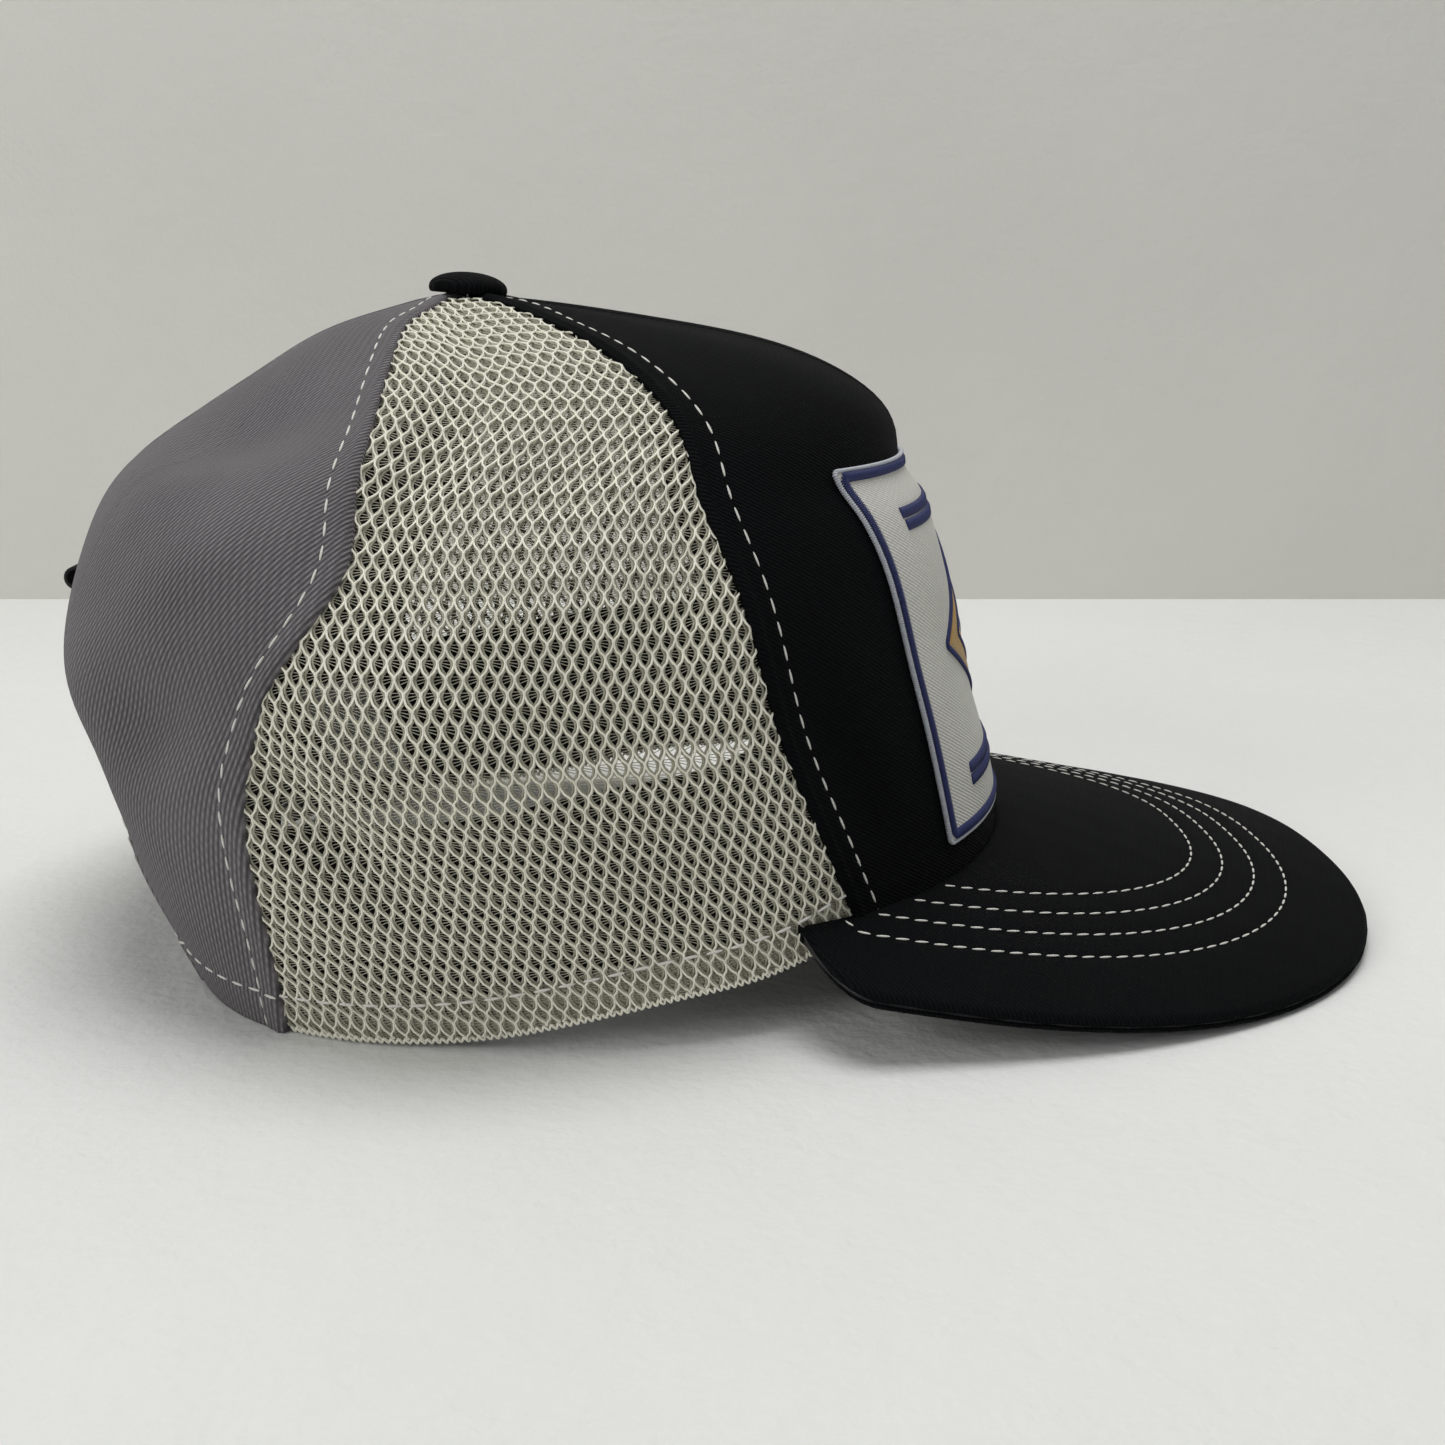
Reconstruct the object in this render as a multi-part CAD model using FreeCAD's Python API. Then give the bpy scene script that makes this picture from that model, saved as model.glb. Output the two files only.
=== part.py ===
"""A trucker cap: twill front and rear crown panels, open mesh sides, a stitched flat visor, a covered
top button, a sewn-on patch and a plastic snap closure over the rear opening.

Frame: +X to the front, +Y to the wearer's left, +Z up. The cap stands on Z = 0 on its side hems and on
the sides of its visor. The origin is the middle of its footprint.

The crown is a smooth form, worked out from a table of levels. Each sewn layer is the patch of that form
between two seams, moved in by the layers outside it, so that every layer keeps an even gap to the next.
The hard parts, which are turned or moulded, are PartDesign bodies.
"""
import FreeCAD, Part
import math
import os
import Sketcher
from FreeCAD import Placement, Rotation, Vector

doc = FreeCAD.newDocument("trucker_cap")

# ---------------------------------------------------------------- driving dimensions, in millimetres
DRIVING_SIZES = [
    ("axis_x", -52.7, "top button's axis, along X from the origin"),
    ("crown_height", 129.3, "top of the crown, under the button"),
    ("front_reach", 115.0, "button's axis to the brow"),
    ("rear_reach", 82.5, "button's axis to the fullest point of the back"),
    ("crown_half_width", 85.0, "middle plane to the fullest point of the side"),
    ("panel_thickness", 1.0, "crown cloth with its seam folds"),
    ("layer_gap", 0.3, "air between two sewn layers"),
    ("seam_gap", 0.2, "between the edges of two panels"),
    ("stiffener_thickness", 0.8, "buckram behind the front panels"),
    ("stiffener_setback", 8.0, "buckram's edge back from the front seam"),
    ("tape_thickness", 0.5, "seam tape"),
    ("tape_width", 12.0, "seam tape"),
    ("inner_start", 12.0, "where buckram and tapes start, from the button's axis"),
    ("sweatband_thickness", 1.2, "sweatband"),
    ("sweatband_height", 38.0, "sweatband"),
    ("sweatband_lift", 2.0, "sweatband's lower edge above the hem"),
    ("arch_half_width", 43.0, "rear opening, at the hem"),
    ("arch_spring", 25.0, "where the rear opening's arch starts, above the surface"),
    ("arch_top", 63.5, "top of the rear opening, above the surface"),
    ("binding_width", 5.0, "binding inside the rear opening's edge"),
    ("binding_thickness", 0.6, "binding"),
    ("visor_length", 115.7, "widest line of the visor to its tip"),
    ("visor_half_width", 87.7, "visor"),
    ("visor_widest", 74.8, "button's axis to the visor's widest line"),
    ("visor_horn", 14.0, "widest line back to the visor's ends"),
    ("visor_squareness", 2.5135, "2 is an ellipse"),
    ("visor_root_height", 21.17, "visor's top at its root, on the middle line"),
    ("visor_root", 112.0, "button's axis to where that height is taken"),
    ("visor_fall", 0.1888, "drop towards the tip, per millimetre"),
    ("visor_curl", 0.0019, "drop towards the sides, per square millimetre"),
    ("board_thickness", 1.6, "plastic visor board"),
    ("board_setback", 3.0, "board's edge inside the visor's rim"),
    ("cover_thickness", 0.7, "visor cloth"),
    ("visor_gap", 0.1, "between the visor's layers"),
    ("button_radius", 7.8, "covered top button"),
    ("button_rise", 4.6, "covered top button"),
    ("button_cloth", 0.6, "cloth over the button's shell"),
    ("button_metal", 0.6, "button's shell and washer"),
    ("prong_radius", 1.2, "button's prong"),
    ("prong_clearance", 0.4, "round the prong, in the crown"),
    ("washer_radius", 6.5, "washer under the crown"),
    ("button_lean", 4.0, "degrees that the button leans to the front"),
    ("patch_half_width", 52.0, "patch, along the cloth"),
    ("patch_low", 26.0, "patch's lower edge above the surface"),
    ("patch_high", 99.0, "patch's upper edge above the surface"),
    ("border_width", 4.0, "embroidered border"),
    ("patch_cloth", 0.8, "patch's cloth"),
    ("patch_thread", 0.6, "how far the embroidery stands out"),
    ("emblem_width", 68.0, "lozenge on the patch, across"),
    ("emblem_height", 38.0, "lozenge on the patch"),
    ("emblem_bar", 5.0, "height of each bar over and under the lozenge"),
    ("strap_radius", 135.0, "outside of the outer snap strap"),
    ("strap_thickness", 1.2, "snap strap"),
    ("strap_height", 14.0, "snap strap"),
    ("strap_gap", 0.3, "between the two straps"),
    ("strap_tilt", 24.0, "degrees that the straps lean back, as the crown's wall does"),
    ("strap_base", 7.0, "straps' lower edge above the surface, at the back"),
    ("strap_inset", 0.6, "outer strap inside the crown's form, at the back"),
    ("strap_root", 16.5, "degrees from the back to a strap's flex line"),
    ("strap_root_gap", 0.4, "degrees between the flex line and the sewn end"),
    ("strap_anchor", 4.6, "degrees of sewn end"),
    ("snap_pitch", 3.6, "degrees from one snap to the next"),
    ("strap_end", 2.2, "degrees that a strap runs past its last snap"),
    ("peg_radius", 2.0, "snap pegs"),
    ("peg_length", 2.5, "snap pegs, from their strap's face"),
    ("hole_radius", 2.75, "snap holes"),
    ("tab_width", 12.0, "folded cloth tab at the back"),
    ("tab_height", 5.0, "folded cloth tab"),
    ("tab_depth", 3.2, "how far the tab stands out"),
    ("tab_base", 70.5, "tab's lower edge above the surface"),
    ("label_width", 22.0, "care label inside"),
    ("label_height", 26.0, "care label inside"),
    ("label_thickness", 0.4, "care label"),
    ("label_lift", 6.0, "care label's lower edge above the hem"),
    ("label_turn", 135.0, "degrees round from the front to the care label"),
    ("tab_leaf", 1.0, "thickness of the tab's cloth"),
]
PEG_COUNT = 7
HOLE_COUNT = 7
SNAPS_CLOSED = 5  # pegs that stand in holes at the modelled head size

sheet = doc.addObject("Spreadsheet::Sheet", "sizes")
for row, (alias, value, note) in enumerate(DRIVING_SIZES, start=1):
    sheet.set(f"A{row}", note)
    sheet.set(f"B{row}", str(value))
    sheet.setAlias(f"B{row}", alias)
doc.recompute()


def size(alias):
    """A driving dimension, read from the sheet."""
    return float(sheet.get(alias))


# ---------------------------------------------------------------- the crown's outer form
# Level by level, from the hem up: height, reach to the front, reach to the back and half width, each as a
# share of its driving dimension, and how square the back of the outline is (2 is an ellipse).
CROWN_LEVELS = [
    (-0.0209, 1.0130, 0.6909, 0.9235, 3.0),
    (0.1183, 0.9826, 0.8000, 0.9471, 2.8),
    (0.2730, 0.9435, 0.9212, 0.9824, 2.5),
    (0.4741, 0.8783, 1.0000, 1.0000, 2.2),
    (0.6442, 0.8304, 0.9455, 0.9353, 2.0),
    (0.7602, 0.7783, 0.8242, 0.8294, 2.0),
    (0.8221, 0.7522, 0.6909, 0.7412, 2.0),
    (0.8786, 0.6783, 0.5455, 0.6294, 2.0),
    (0.9304, 0.5304, 0.4121, 0.4824, 2.0),
    (0.9667, 0.3217, 0.2788, 0.3176, 2.0),
    (0.9892, 0.1565, 0.1515, 0.1647, 2.0),
    (0.9977, 0.0696, 0.0909, 0.0882, 2.0),
    (1.0000, 0.0139, 0.0194, 0.0188, 2.0),
]


def natural_spline(knots, values):
    """A smooth function through values at knots."""
    count = len(knots)
    steps = [b - a for a, b in zip(knots, knots[1:])]
    bends, above, right = [0.0] * count, [0.0] * count, [0.0] * count
    for i in range(1, count - 1):
        pivot = 2 * (steps[i - 1] + steps[i]) - steps[i - 1] * above[i - 1]
        slope = (values[i + 1] - values[i]) / steps[i] - (values[i] - values[i - 1]) / steps[i - 1]
        above[i] = steps[i] / pivot
        right[i] = (6 * slope - steps[i - 1] * right[i - 1]) / pivot
    for i in range(count - 2, 0, -1):
        bends[i] = right[i] - above[i] * bends[i + 1]

    def value(at):
        i = 0
        while i < count - 2 and at > knots[i + 1]:
            i += 1
        a, b = (knots[i + 1] - at) / steps[i], (at - knots[i]) / steps[i]
        curve = (a ** 3 - a) * bends[i] + (b ** 3 - b) * bends[i + 1]
        return a * values[i] + b * values[i + 1] + curve * steps[i] ** 2 / 6

    return value


def crown_splines():
    """The level table in millimetres, smoothed along the crown's mean profile, and the profile's length."""
    rows = [(h * size("crown_height"), size("axis_x") + f * size("front_reach"),
             size("axis_x") - r * size("rear_reach"), w * size("crown_half_width"), q)
            for h, f, r, w, q in CROWN_LEVELS]
    along = [0.0]
    for low, high in zip(rows, rows[1:]):
        inward = ((low[1] - low[2]) - (high[1] - high[2])) / 2
        along.append(along[-1] + math.hypot(inward, high[0] - low[0]))
    return [natural_spline(along, column) for column in zip(*rows)], along[-1]


CROWN, CROWN_TOP = crown_splines()


def crown_point(angle, climb):
    """The crown's outer form: degrees round from the front, and millimetres up its profile."""
    height, front, rear, width, square = (column(climb) for column in CROWN)
    length, middle = (front - rear) / 2, (front + rear) / 2
    across, along = math.sin(math.radians(angle)), math.cos(math.radians(angle))
    power = square if along < 0 else 2.0
    radius = ((abs(along) / length) ** power + (abs(across) / width) ** power) ** (-1 / power)
    return Vector(middle + radius * along, radius * across, height)


def crown_normal(angle, climb):
    """The crown's outward direction."""
    round_it = crown_point(angle + 0.2, climb) - crown_point(angle - 0.2, climb)
    up_it = crown_point(angle, climb + 0.2) - crown_point(angle, climb - 0.2)
    return round_it.cross(up_it).normalize()


def layer_point(angle, climb, inset):
    """A point at an inset inside the crown's form."""
    return crown_point(angle, climb) - crown_normal(angle, climb) * inset


def solve(function, low, high):
    """Where a function that falls from low to high crosses zero."""
    for _ in range(40):
        middle = (low + high) / 2
        if function(middle) > 0:
            low = middle
        else:
            high = middle
    return (low + high) / 2


def climb_to(height):
    """Millimetres up the profile to a height."""
    return solve(lambda climb: height - CROWN[0](climb), 0.0, CROWN_TOP)


def climb_to_radius(radius):
    """Millimetres up the profile to a ring of some radius round the button."""
    return solve(lambda climb: CROWN[3](climb) - radius, CROWN_TOP / 2, CROWN_TOP)


def degrees_for(distance, angle, climb):
    """How many degrees round the crown a distance is, at one place."""
    return distance / (crown_point(angle + 0.5, climb) - crown_point(angle - 0.5, climb)).Length


def angle_along(distance, climb):
    """Degrees round from the front after a distance along the cloth at one level."""
    angle, steps = 0.0, 24
    for _ in range(steps):
        angle += degrees_for(distance / steps, angle, climb)
    return angle


# ---------------------------------------------------------------- seams, hem and rear opening
# Each seam as (share of the crown's height, degrees round from the front); the hem as (degrees, share).
FRONT_SEAM = [(-0.021, 50.5), (0.135, 52.2), (0.278, 54.0), (0.414, 55.8), (0.538, 57.1), (0.667, 59.1),
              (0.794, 63.0), (0.874, 67.5), (0.930, 69.5), (0.961, 67.5), (0.995, 62.0), (1.0, 60.0)]
REAR_SEAM = [(-0.021, 132.0), (0.186, 126.0), (0.325, 122.4), (0.438, 119.0), (0.532, 114.6), (0.609, 110.3),
             (0.681, 108.2), (0.773, 111.5), (0.867, 119.5), (0.941, 124.5), (0.985, 124.5), (1.0, 122.0)]
HEM = [(-4, 0.1353), (20, 0.1353), (40, 0.1346), (52, 0.1300), (60, 0.1050), (68, 0.0855), (78, 0.0719),
       (90, 0.0487), (102, 0.0240), (112, 0.0105), (121, 0.0045), (132, 0.0020), (145, 0.0050),
       (160, 0.0232), (184, 0.0387)]


def seam_function(points):
    """Degrees round, as a function of the climb."""
    return natural_spline([climb_to(h * size("crown_height")) for h, _ in points[:-1]] + [CROWN_TOP],
                          [angle for _, angle in points])


front_seam = seam_function(FRONT_SEAM)
rear_seam = seam_function(REAR_SEAM)
hem_height = natural_spline([angle for angle, _ in HEM], [h * size("crown_height") for _, h in HEM])


def hem_climb(angle, lift=0.0):
    """Millimetres up the profile to the hem, or to a line above it."""
    return climb_to(hem_height(abs(angle))) + lift


def inside_arch(spread):
    """The rear opening as a tool along X, wider all round by spread."""
    half, spring = size("arch_half_width") + spread, size("arch_spring")
    rise = size("arch_top") + spread - spring
    start = size("axis_x") - size("rear_reach") / 2
    steps = 14
    arc = [Vector(start, half * math.cos(math.pi * n / steps), spring + rise * math.sin(math.pi * n / steps))
           for n in range(steps + 1)]
    curve = Part.BSplineCurve()
    curve.interpolate(arc)
    depth = -size("crown_height") / 4
    corners = [arc[-1], Vector(start, -half, depth), Vector(start, half, depth), arc[0]]
    sides = [Part.makeLine(a, b) for a, b in zip(corners, corners[1:])]
    face = Part.Face(Part.Wire([curve.toShape()] + sides))
    return face.extrude(Vector(-size("rear_reach"), 0, 0))


# ---------------------------------------------------------------- solids from two skins
def surface_through(grid):
    """A smooth face through rows of points."""
    surface = Part.BSplineSurface()
    surface.interpolate(grid)
    return surface.toShape()


def iso_edges(face):
    """The four edges of a face made from a grid: first row, last row, first column, last column."""
    surface = face.Surface
    u_low, u_high, v_low, v_high = surface.bounds()
    return [surface.uIso(u_low).toShape(), surface.uIso(u_high).toShape(),
            surface.vIso(v_low).toShape(), surface.vIso(v_high).toShape()]


def solid_between(outer_grid, inner_grid):
    """The solid between two skins whose grids match."""
    outer, inner = surface_through(outer_grid), surface_through(inner_grid)
    sides = [Part.makeRuledSurface(a, b) for a, b in zip(iso_edges(outer), iso_edges(inner))]
    shell = Part.makeShell([outer, inner] + sides)
    shell.sewShape()
    solid = Part.makeSolid(shell)
    if solid.Volume < 0:
        solid.reverse()
    return solid


def crown_layer(place, inset, thickness, columns, rows):
    """A layer of the crown. place gives (angle, climb) for shares (0 to 1) across and up."""
    def grid(depth):
        return [[layer_point(*place(c / (columns - 1), r / (rows - 1)), depth) for r in range(rows)]
                for c in range(columns)]
    return solid_between(grid(inset), grid(inset + thickness))


def between(first, last, bottom, top):
    """A place function: first and last give degrees for a climb, bottom and top a climb for degrees."""
    def place(across, up):
        climb = CROWN_TOP / 2
        for _ in range(5):
            angle = first(climb) + across * (last(climb) - first(climb))
            climb = bottom(angle) + up * (top(angle) - bottom(angle))
        return angle, climb
    return place


def beside(seam, distance):
    """A line at some distance along the cloth from a seam, or from a fixed angle."""
    seam_at = seam if callable(seam) else (lambda climb: seam)
    return lambda climb: seam_at(climb) + degrees_for(distance, seam_at(climb), climb)


def mirrored(shape):
    """The same shape on the other side of the middle plane."""
    return shape.mirror(Vector(0, 0, 0), Vector(0, 1, 0))


pieces = {}


def add_shape(name, shape):
    """A finished sub-part from a shape worked out here."""
    holder = doc.addObject("Part::Feature", name)
    holder.Shape = shape
    holder.Label = name
    pieces[name] = holder


def add_pair(name, shape):
    """The left sub-part and its mirror image on the right."""
    add_shape(f"{name}_left", shape)
    add_shape(f"{name}_right", mirrored(shape))


# ---------------------------------------------------------------- crown panels
half_gap = size("seam_gap") / 2
cloth = size("panel_thickness")
hole_edge = climb_to_radius(size("prong_radius") + size("prong_clearance"))


def to_hole(angle):
    return hole_edge


front_place = between(beside(0.0, half_gap), beside(front_seam, -half_gap), hem_climb, to_hole)
mesh_place = between(beside(front_seam, half_gap), beside(rear_seam, -half_gap), hem_climb, to_hole)
rear_place = between(beside(rear_seam, half_gap), beside(180.0, -half_gap), hem_climb, to_hole)
add_pair("front_panel", crown_layer(front_place, 0.0, cloth, 13, 25))
add_pair("mesh_panel", crown_layer(mesh_place, 0.0, cloth, 13, 25))
rear_whole = crown_layer(rear_place, 0.0, cloth, 13, 25)
add_pair("rear_panel", rear_whole.cut(inside_arch(0.0)))

# ---------------------------------------------------------------- buckram and seam tapes
inside = cloth + size("layer_gap")
half_tape = size("tape_width") / 2
inner_top = climb_to_radius(size("inner_start"))


def to_inner_top(angle):
    return inner_top


def above_hem(angle):
    return hem_climb(angle, size("sweatband_lift"))


stiffener_place = between(beside(0.0, half_gap), beside(front_seam, -size("stiffener_setback")),
                          above_hem, to_inner_top)
add_pair("front_stiffener", crown_layer(stiffener_place, inside, size("stiffener_thickness"), 11, 21))
for seam_name, seam in (("front", front_seam), ("rear", rear_seam)):
    tape_place = between(beside(seam, -half_tape), beside(seam, half_tape), above_hem, to_inner_top)
    add_pair(f"seam_tape_{seam_name}", crown_layer(tape_place, inside, size("tape_thickness"), 5, 25))

arch_clear = climb_to(size("arch_top")) + size("binding_width") + 2
rear_tape_place = between(beside(180.0, -half_tape), beside(180.0, half_tape), lambda angle: arch_clear,
                          to_inner_top)
add_shape("seam_tape_back", crown_layer(rear_tape_place, inside, size("tape_thickness"), 5, 15))
behind_stiffener = inside + size("stiffener_thickness") + size("layer_gap")
visor_clear = climb_to(size("visor_root_height"))
front_tape_place = between(beside(0.0, -half_tape), beside(0.0, half_tape), lambda angle: visor_clear,
                           to_inner_top)
add_shape("seam_tape_brow", crown_layer(front_tape_place, behind_stiffener, size("tape_thickness"), 5, 21))

# ---------------------------------------------------------------- sweatband and the opening's binding
sweatband_inset = behind_stiffener + size("tape_thickness") + size("layer_gap")


def opening_edge(distance):
    """Degrees round to the rear opening's side, moved on by a distance, as a function of the climb."""
    def edge(climb):
        width = size("arch_half_width") + distance
        return solve(lambda angle: crown_point(angle, climb).y - width, 100.0, 180.0)
    return edge


band_end = opening_edge(size("binding_width") + 4)


def above_band(angle):
    return hem_climb(angle, size("sweatband_lift") + size("sweatband_height"))


band_place = between(lambda climb: -band_end(climb), band_end, above_hem, above_band)
add_shape("sweatband", crown_layer(band_place, sweatband_inset, size("sweatband_thickness"), 61, 5))


def binding_place(across, up):
    """Round the rear opening: across is the binding's width, up runs from one foot over the arch."""
    half = size("arch_half_width") + 0.3 + across * (size("binding_width") - 0.3)
    spring, crest = size("arch_spring"), size("arch_top") + 0.3 + across * (size("binding_width") - 0.3)
    foot = size("crown_height") * 0.075
    straight, curved = spring - foot, math.pi * (half + crest - spring) / 2
    travel = up * (2 * straight + curved)
    if travel < straight:
        y, z = half, foot + travel
    elif travel > straight + curved:
        y, z = -half, foot + (2 * straight + curved - travel)
    else:
        turn = math.pi * (travel - straight) / curved
        y, z = half * math.cos(turn), spring + (crest - spring) * math.sin(turn)
    climb = climb_to(z)
    turned = solve(lambda angle: crown_point(angle, climb).y - abs(y), 100.0, 180.0)
    return (turned if y > 0 else 360 - turned), climb


add_shape("opening_binding", crown_layer(binding_place, inside, size("binding_thickness"), 4, 41))

# ---------------------------------------------------------------- visor
VISOR_STATIONS = 49


def visor_height(x, y):
    """The visor's top surface."""
    ahead = x - size("axis_x") - size("visor_root")
    return size("visor_root_height") - size("visor_fall") * ahead - size("visor_curl") * y * y


def even_points(line, count):
    """Points at even distances along a fine line of points."""
    along = [0.0]
    for a, b in zip(line, line[1:]):
        along.append(along[-1] + (b - a).Length)
    points, i = [], 0
    for n in range(count):
        target = along[-1] * n / (count - 1)
        while i < len(along) - 2 and along[i + 1] < target:
            i += 1
        share = (target - along[i]) / (along[i + 1] - along[i])
        points.append(line[i] + (line[i + 1] - line[i]) * share)
    return points


def wall_distance(x, y, z):
    """How far outside the crown's form a place beside its front half is, roughly; negative is inside."""
    climb = climb_to(z)
    height, front, rear, width, square = (column(climb) for column in CROWN)
    length, middle = (front - rear) / 2, (front + rear) / 2
    reach = math.hypot((x - middle) / length, y / width)
    return (reach - 1) * math.hypot(x - middle, y) / reach


def rim_line(setback):
    """The left half of the visor's rim, seen from above, from its tip back to the crown."""
    widest = size("axis_x") + size("visor_widest")
    length, half = size("visor_length") - setback, size("visor_half_width") - setback
    power = 2 / size("visor_squareness")
    front = [math.radians(90) * n / 90 for n in range(91)]
    line = [Vector(widest + length * math.cos(t) ** power, half * math.sin(t) ** power, 0) for t in front]
    horn, turn_in = size("visor_horn") - setback / 2, size("visor_half_width") / 3 - setback
    line += [Vector(widest - horn * math.sin(t), half - turn_in * (1 - math.cos(t)), 0) for t in front[1:]]
    clear = [p for p in line if wall_distance(p.x, p.y, visor_height(p.x, p.y)) > 1.5]
    return clear


def visor_grid(setback, depth, root_gap, share_low=0.0):
    """The visor's skin at a depth under its top: stations from right to left, points from root to rim."""
    half = even_points(rim_line(setback), (VISOR_STATIONS + 1) // 2)
    rim = [Vector(p.x, -p.y, 0) for p in reversed(half)] + half[1:]
    last_x, last_y = half[-1].x, half[-1].y
    middle_x = (CROWN[1](climb_to(10.0)) + CROWN[2](climb_to(10.0))) / 2
    last_angle = math.degrees(math.atan2(last_y, last_x - middle_x))
    grid = []
    for n, edge in enumerate(rim):
        angle = last_angle * (2 * n / (VISOR_STATIONS - 1) - 1)
        ray = Vector(math.cos(math.radians(angle)), math.sin(math.radians(angle)), 0)

        def short_of_wall(distance):
            x, y = middle_x + ray.x * distance, ray.y * distance
            return root_gap - wall_distance(x, y, visor_height(x, y) - depth)

        root = Vector(middle_x, 0, 0) + ray * solve(short_of_wall, 40.0, 140.0)
        row = []
        for step in range(7):
            share = share_low + (1 - share_low) * step / 6
            p = root + (edge - root) * share
            row.append(Vector(p.x, p.y, visor_height(p.x, p.y) - depth))
        grid.append(row)
    return grid


def visor_layer(setback, top, thickness, share_low=0.0):
    """One layer of the visor."""
    return solid_between(visor_grid(setback, top, size("layer_gap"), share_low),
                         visor_grid(setback, top + thickness, size("layer_gap"), share_low))


board_top = size("cover_thickness") + size("visor_gap")
under_top = board_top + size("board_thickness") + size("visor_gap")
add_shape("visor_top_cover", visor_layer(0.0, 0.0, size("cover_thickness")))
add_shape("visor_board", visor_layer(size("board_setback"), board_top, size("board_thickness")))
add_shape("visor_under_cover", visor_layer(0.0, under_top, size("cover_thickness")))


def piping_grid(depth):
    """The cord between the two covers' edges: a narrow strip along the rim."""
    inner = [row[-1] for row in visor_grid(size("board_setback") - 1.0, depth, size("layer_gap"))]
    outer = [row[-1] for row in visor_grid(0.2, depth, size("layer_gap"))]
    return [[a + (b - a) * (step / 2) for step in range(3)] for a, b in zip(inner, outer)]


add_shape("visor_piping", solid_between(piping_grid(board_top),
                                        piping_grid(board_top + size("board_thickness"))))

# ---------------------------------------------------------------- patch
patch_back = -size("layer_gap")
patch_face = patch_back - size("patch_cloth")


def patch_place(across, up):
    """On the front of the crown: shares across from right to left, and up."""
    low, high = climb_to(size("patch_low")), climb_to(size("patch_high"))
    climb = low + up * (high - low)
    return angle_along((2 * across - 1) * size("patch_half_width"), climb), climb


def thread_layer(setback):
    """A raised layer over the patch's face, smaller all round by a setback."""
    def place(across, up):
        wide = setback / size("patch_half_width") / 2
        tall = setback / (climb_to(size("patch_high")) - climb_to(size("patch_low")))
        return patch_place(wide + across * (1 - 2 * wide), tall + up * (1 - 2 * tall))
    return crown_layer(place, patch_face - 0.05 - size("patch_thread"), size("patch_thread"), 25, 15)


add_shape("patch_cloth", crown_layer(patch_place, patch_face, size("patch_cloth"), 25, 15))
thread_whole = thread_layer(0.4)
border_width, patch_middle = size("border_width"), (size("patch_low") + size("patch_high")) / 2


def along_x(points):
    """A tool along X through the front of the cap, from its outline as (y, z) points."""
    start = size("axis_x")
    wire = Part.makePolygon([Vector(start, y, z) for y, z in points + points[:1]])
    return Part.Face(wire).extrude(Vector(2 * size("front_reach"), 0, 0))


def rectangle(y_middle, z_middle, width, height):
    """Corners of a rectangle."""
    return [(y_middle + a * width / 2, z_middle + b * height / 2)
            for a, b in ((-1, -1), (1, -1), (1, 1), (-1, 1))]


low_arc = crown_point(angle_along(size("patch_half_width") - border_width, climb_to(patch_middle)),
                      climb_to(patch_middle)).y
clear_height = size("patch_high") - size("patch_low") - 2 * border_width
border_tool = along_x(rectangle(0, patch_middle, 2 * low_arc, clear_height))
add_shape("patch_border", thread_whole.cut(border_tool))

wide, tall, bar = size("emblem_width"), size("emblem_height"), size("emblem_bar")
lozenge = [(-wide / 2, patch_middle), (0, patch_middle - tall / 2), (wide / 2, patch_middle),
           (0, patch_middle + tall / 2)]
add_shape("patch_emblem", thread_whole.common(along_x(lozenge)))
for number, offset in (("upper", 1), ("lower", -1)):
    bar_tool = along_x(rectangle(0, patch_middle + offset * (tall / 2 + bar * 1.3), wide * 1.1, bar))
    add_shape(f"patch_bar_{number}", thread_whole.common(bar_tool))


# ---------------------------------------------------------------- PartDesign helpers
def new_body(name, placement=None):
    """A finished sub-part as a PartDesign body."""
    body = doc.addObject("PartDesign::Body", name)
    body.Label = name
    if placement:
        body.Placement = placement
    pieces[name] = body
    return body


def origin_plane(body, role):
    return next(f for f in body.Origin.OriginFeatures if f.Role == role)


def new_sketch(body, name, role, offset=None):
    """A sketch on one of the body's own planes."""
    sketch = body.newObject("Sketcher::SketchObject", name)
    sketch.AttachmentSupport = (origin_plane(body, role), [""])
    sketch.MapMode = "FlatFace"
    if offset:
        sketch.AttachmentOffset = offset
    return sketch


def draw_loop(sketch, points):
    """A closed loop of straight lines whose corners meet."""
    lines = [sketch.addGeometry(Part.LineSegment(Vector(*a, 0), Vector(*b, 0)), False)
             for a, b in zip(points, points[1:] + points[:1])]
    for this, following in zip(lines, lines[1:] + lines[:1]):
        sketch.addConstraint(Sketcher.Constraint("Coincident", this, 2, following, 1))
    return lines


def turned_body(name, placement, profile):
    """A body turned about its Z axis from (radius, height) points."""
    body = new_body(name, placement)
    sketch = new_sketch(body, f"{name}_profile", "XZ_Plane")
    draw_loop(sketch, profile)
    turning = body.newObject("PartDesign::Revolution", f"{name}_turned")
    turning.Profile = sketch
    turning.ReferenceAxis = (sketch, ["V_Axis"])
    turning.Angle = 360
    sketch.Visibility = False
    doc.recompute()
    return body


# ---------------------------------------------------------------- top button
crown_top = crown_point(0, CROWN_TOP).z
button_seat = crown_top + 0.3
button_placement = Placement(Vector(size("axis_x"), 0, button_seat),
                             Rotation(Vector(0, 1, 0), size("button_lean")))


def dome(radius, low, high, steps=8):
    """(radius, height) points of a half dome from its rim up to its crest."""
    return [(radius * math.cos(math.pi / 2 * n / steps), low + (high - low) * math.sin(math.pi / 2 * n / steps))
            for n in range(steps)] + [(0.0, high)]


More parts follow.
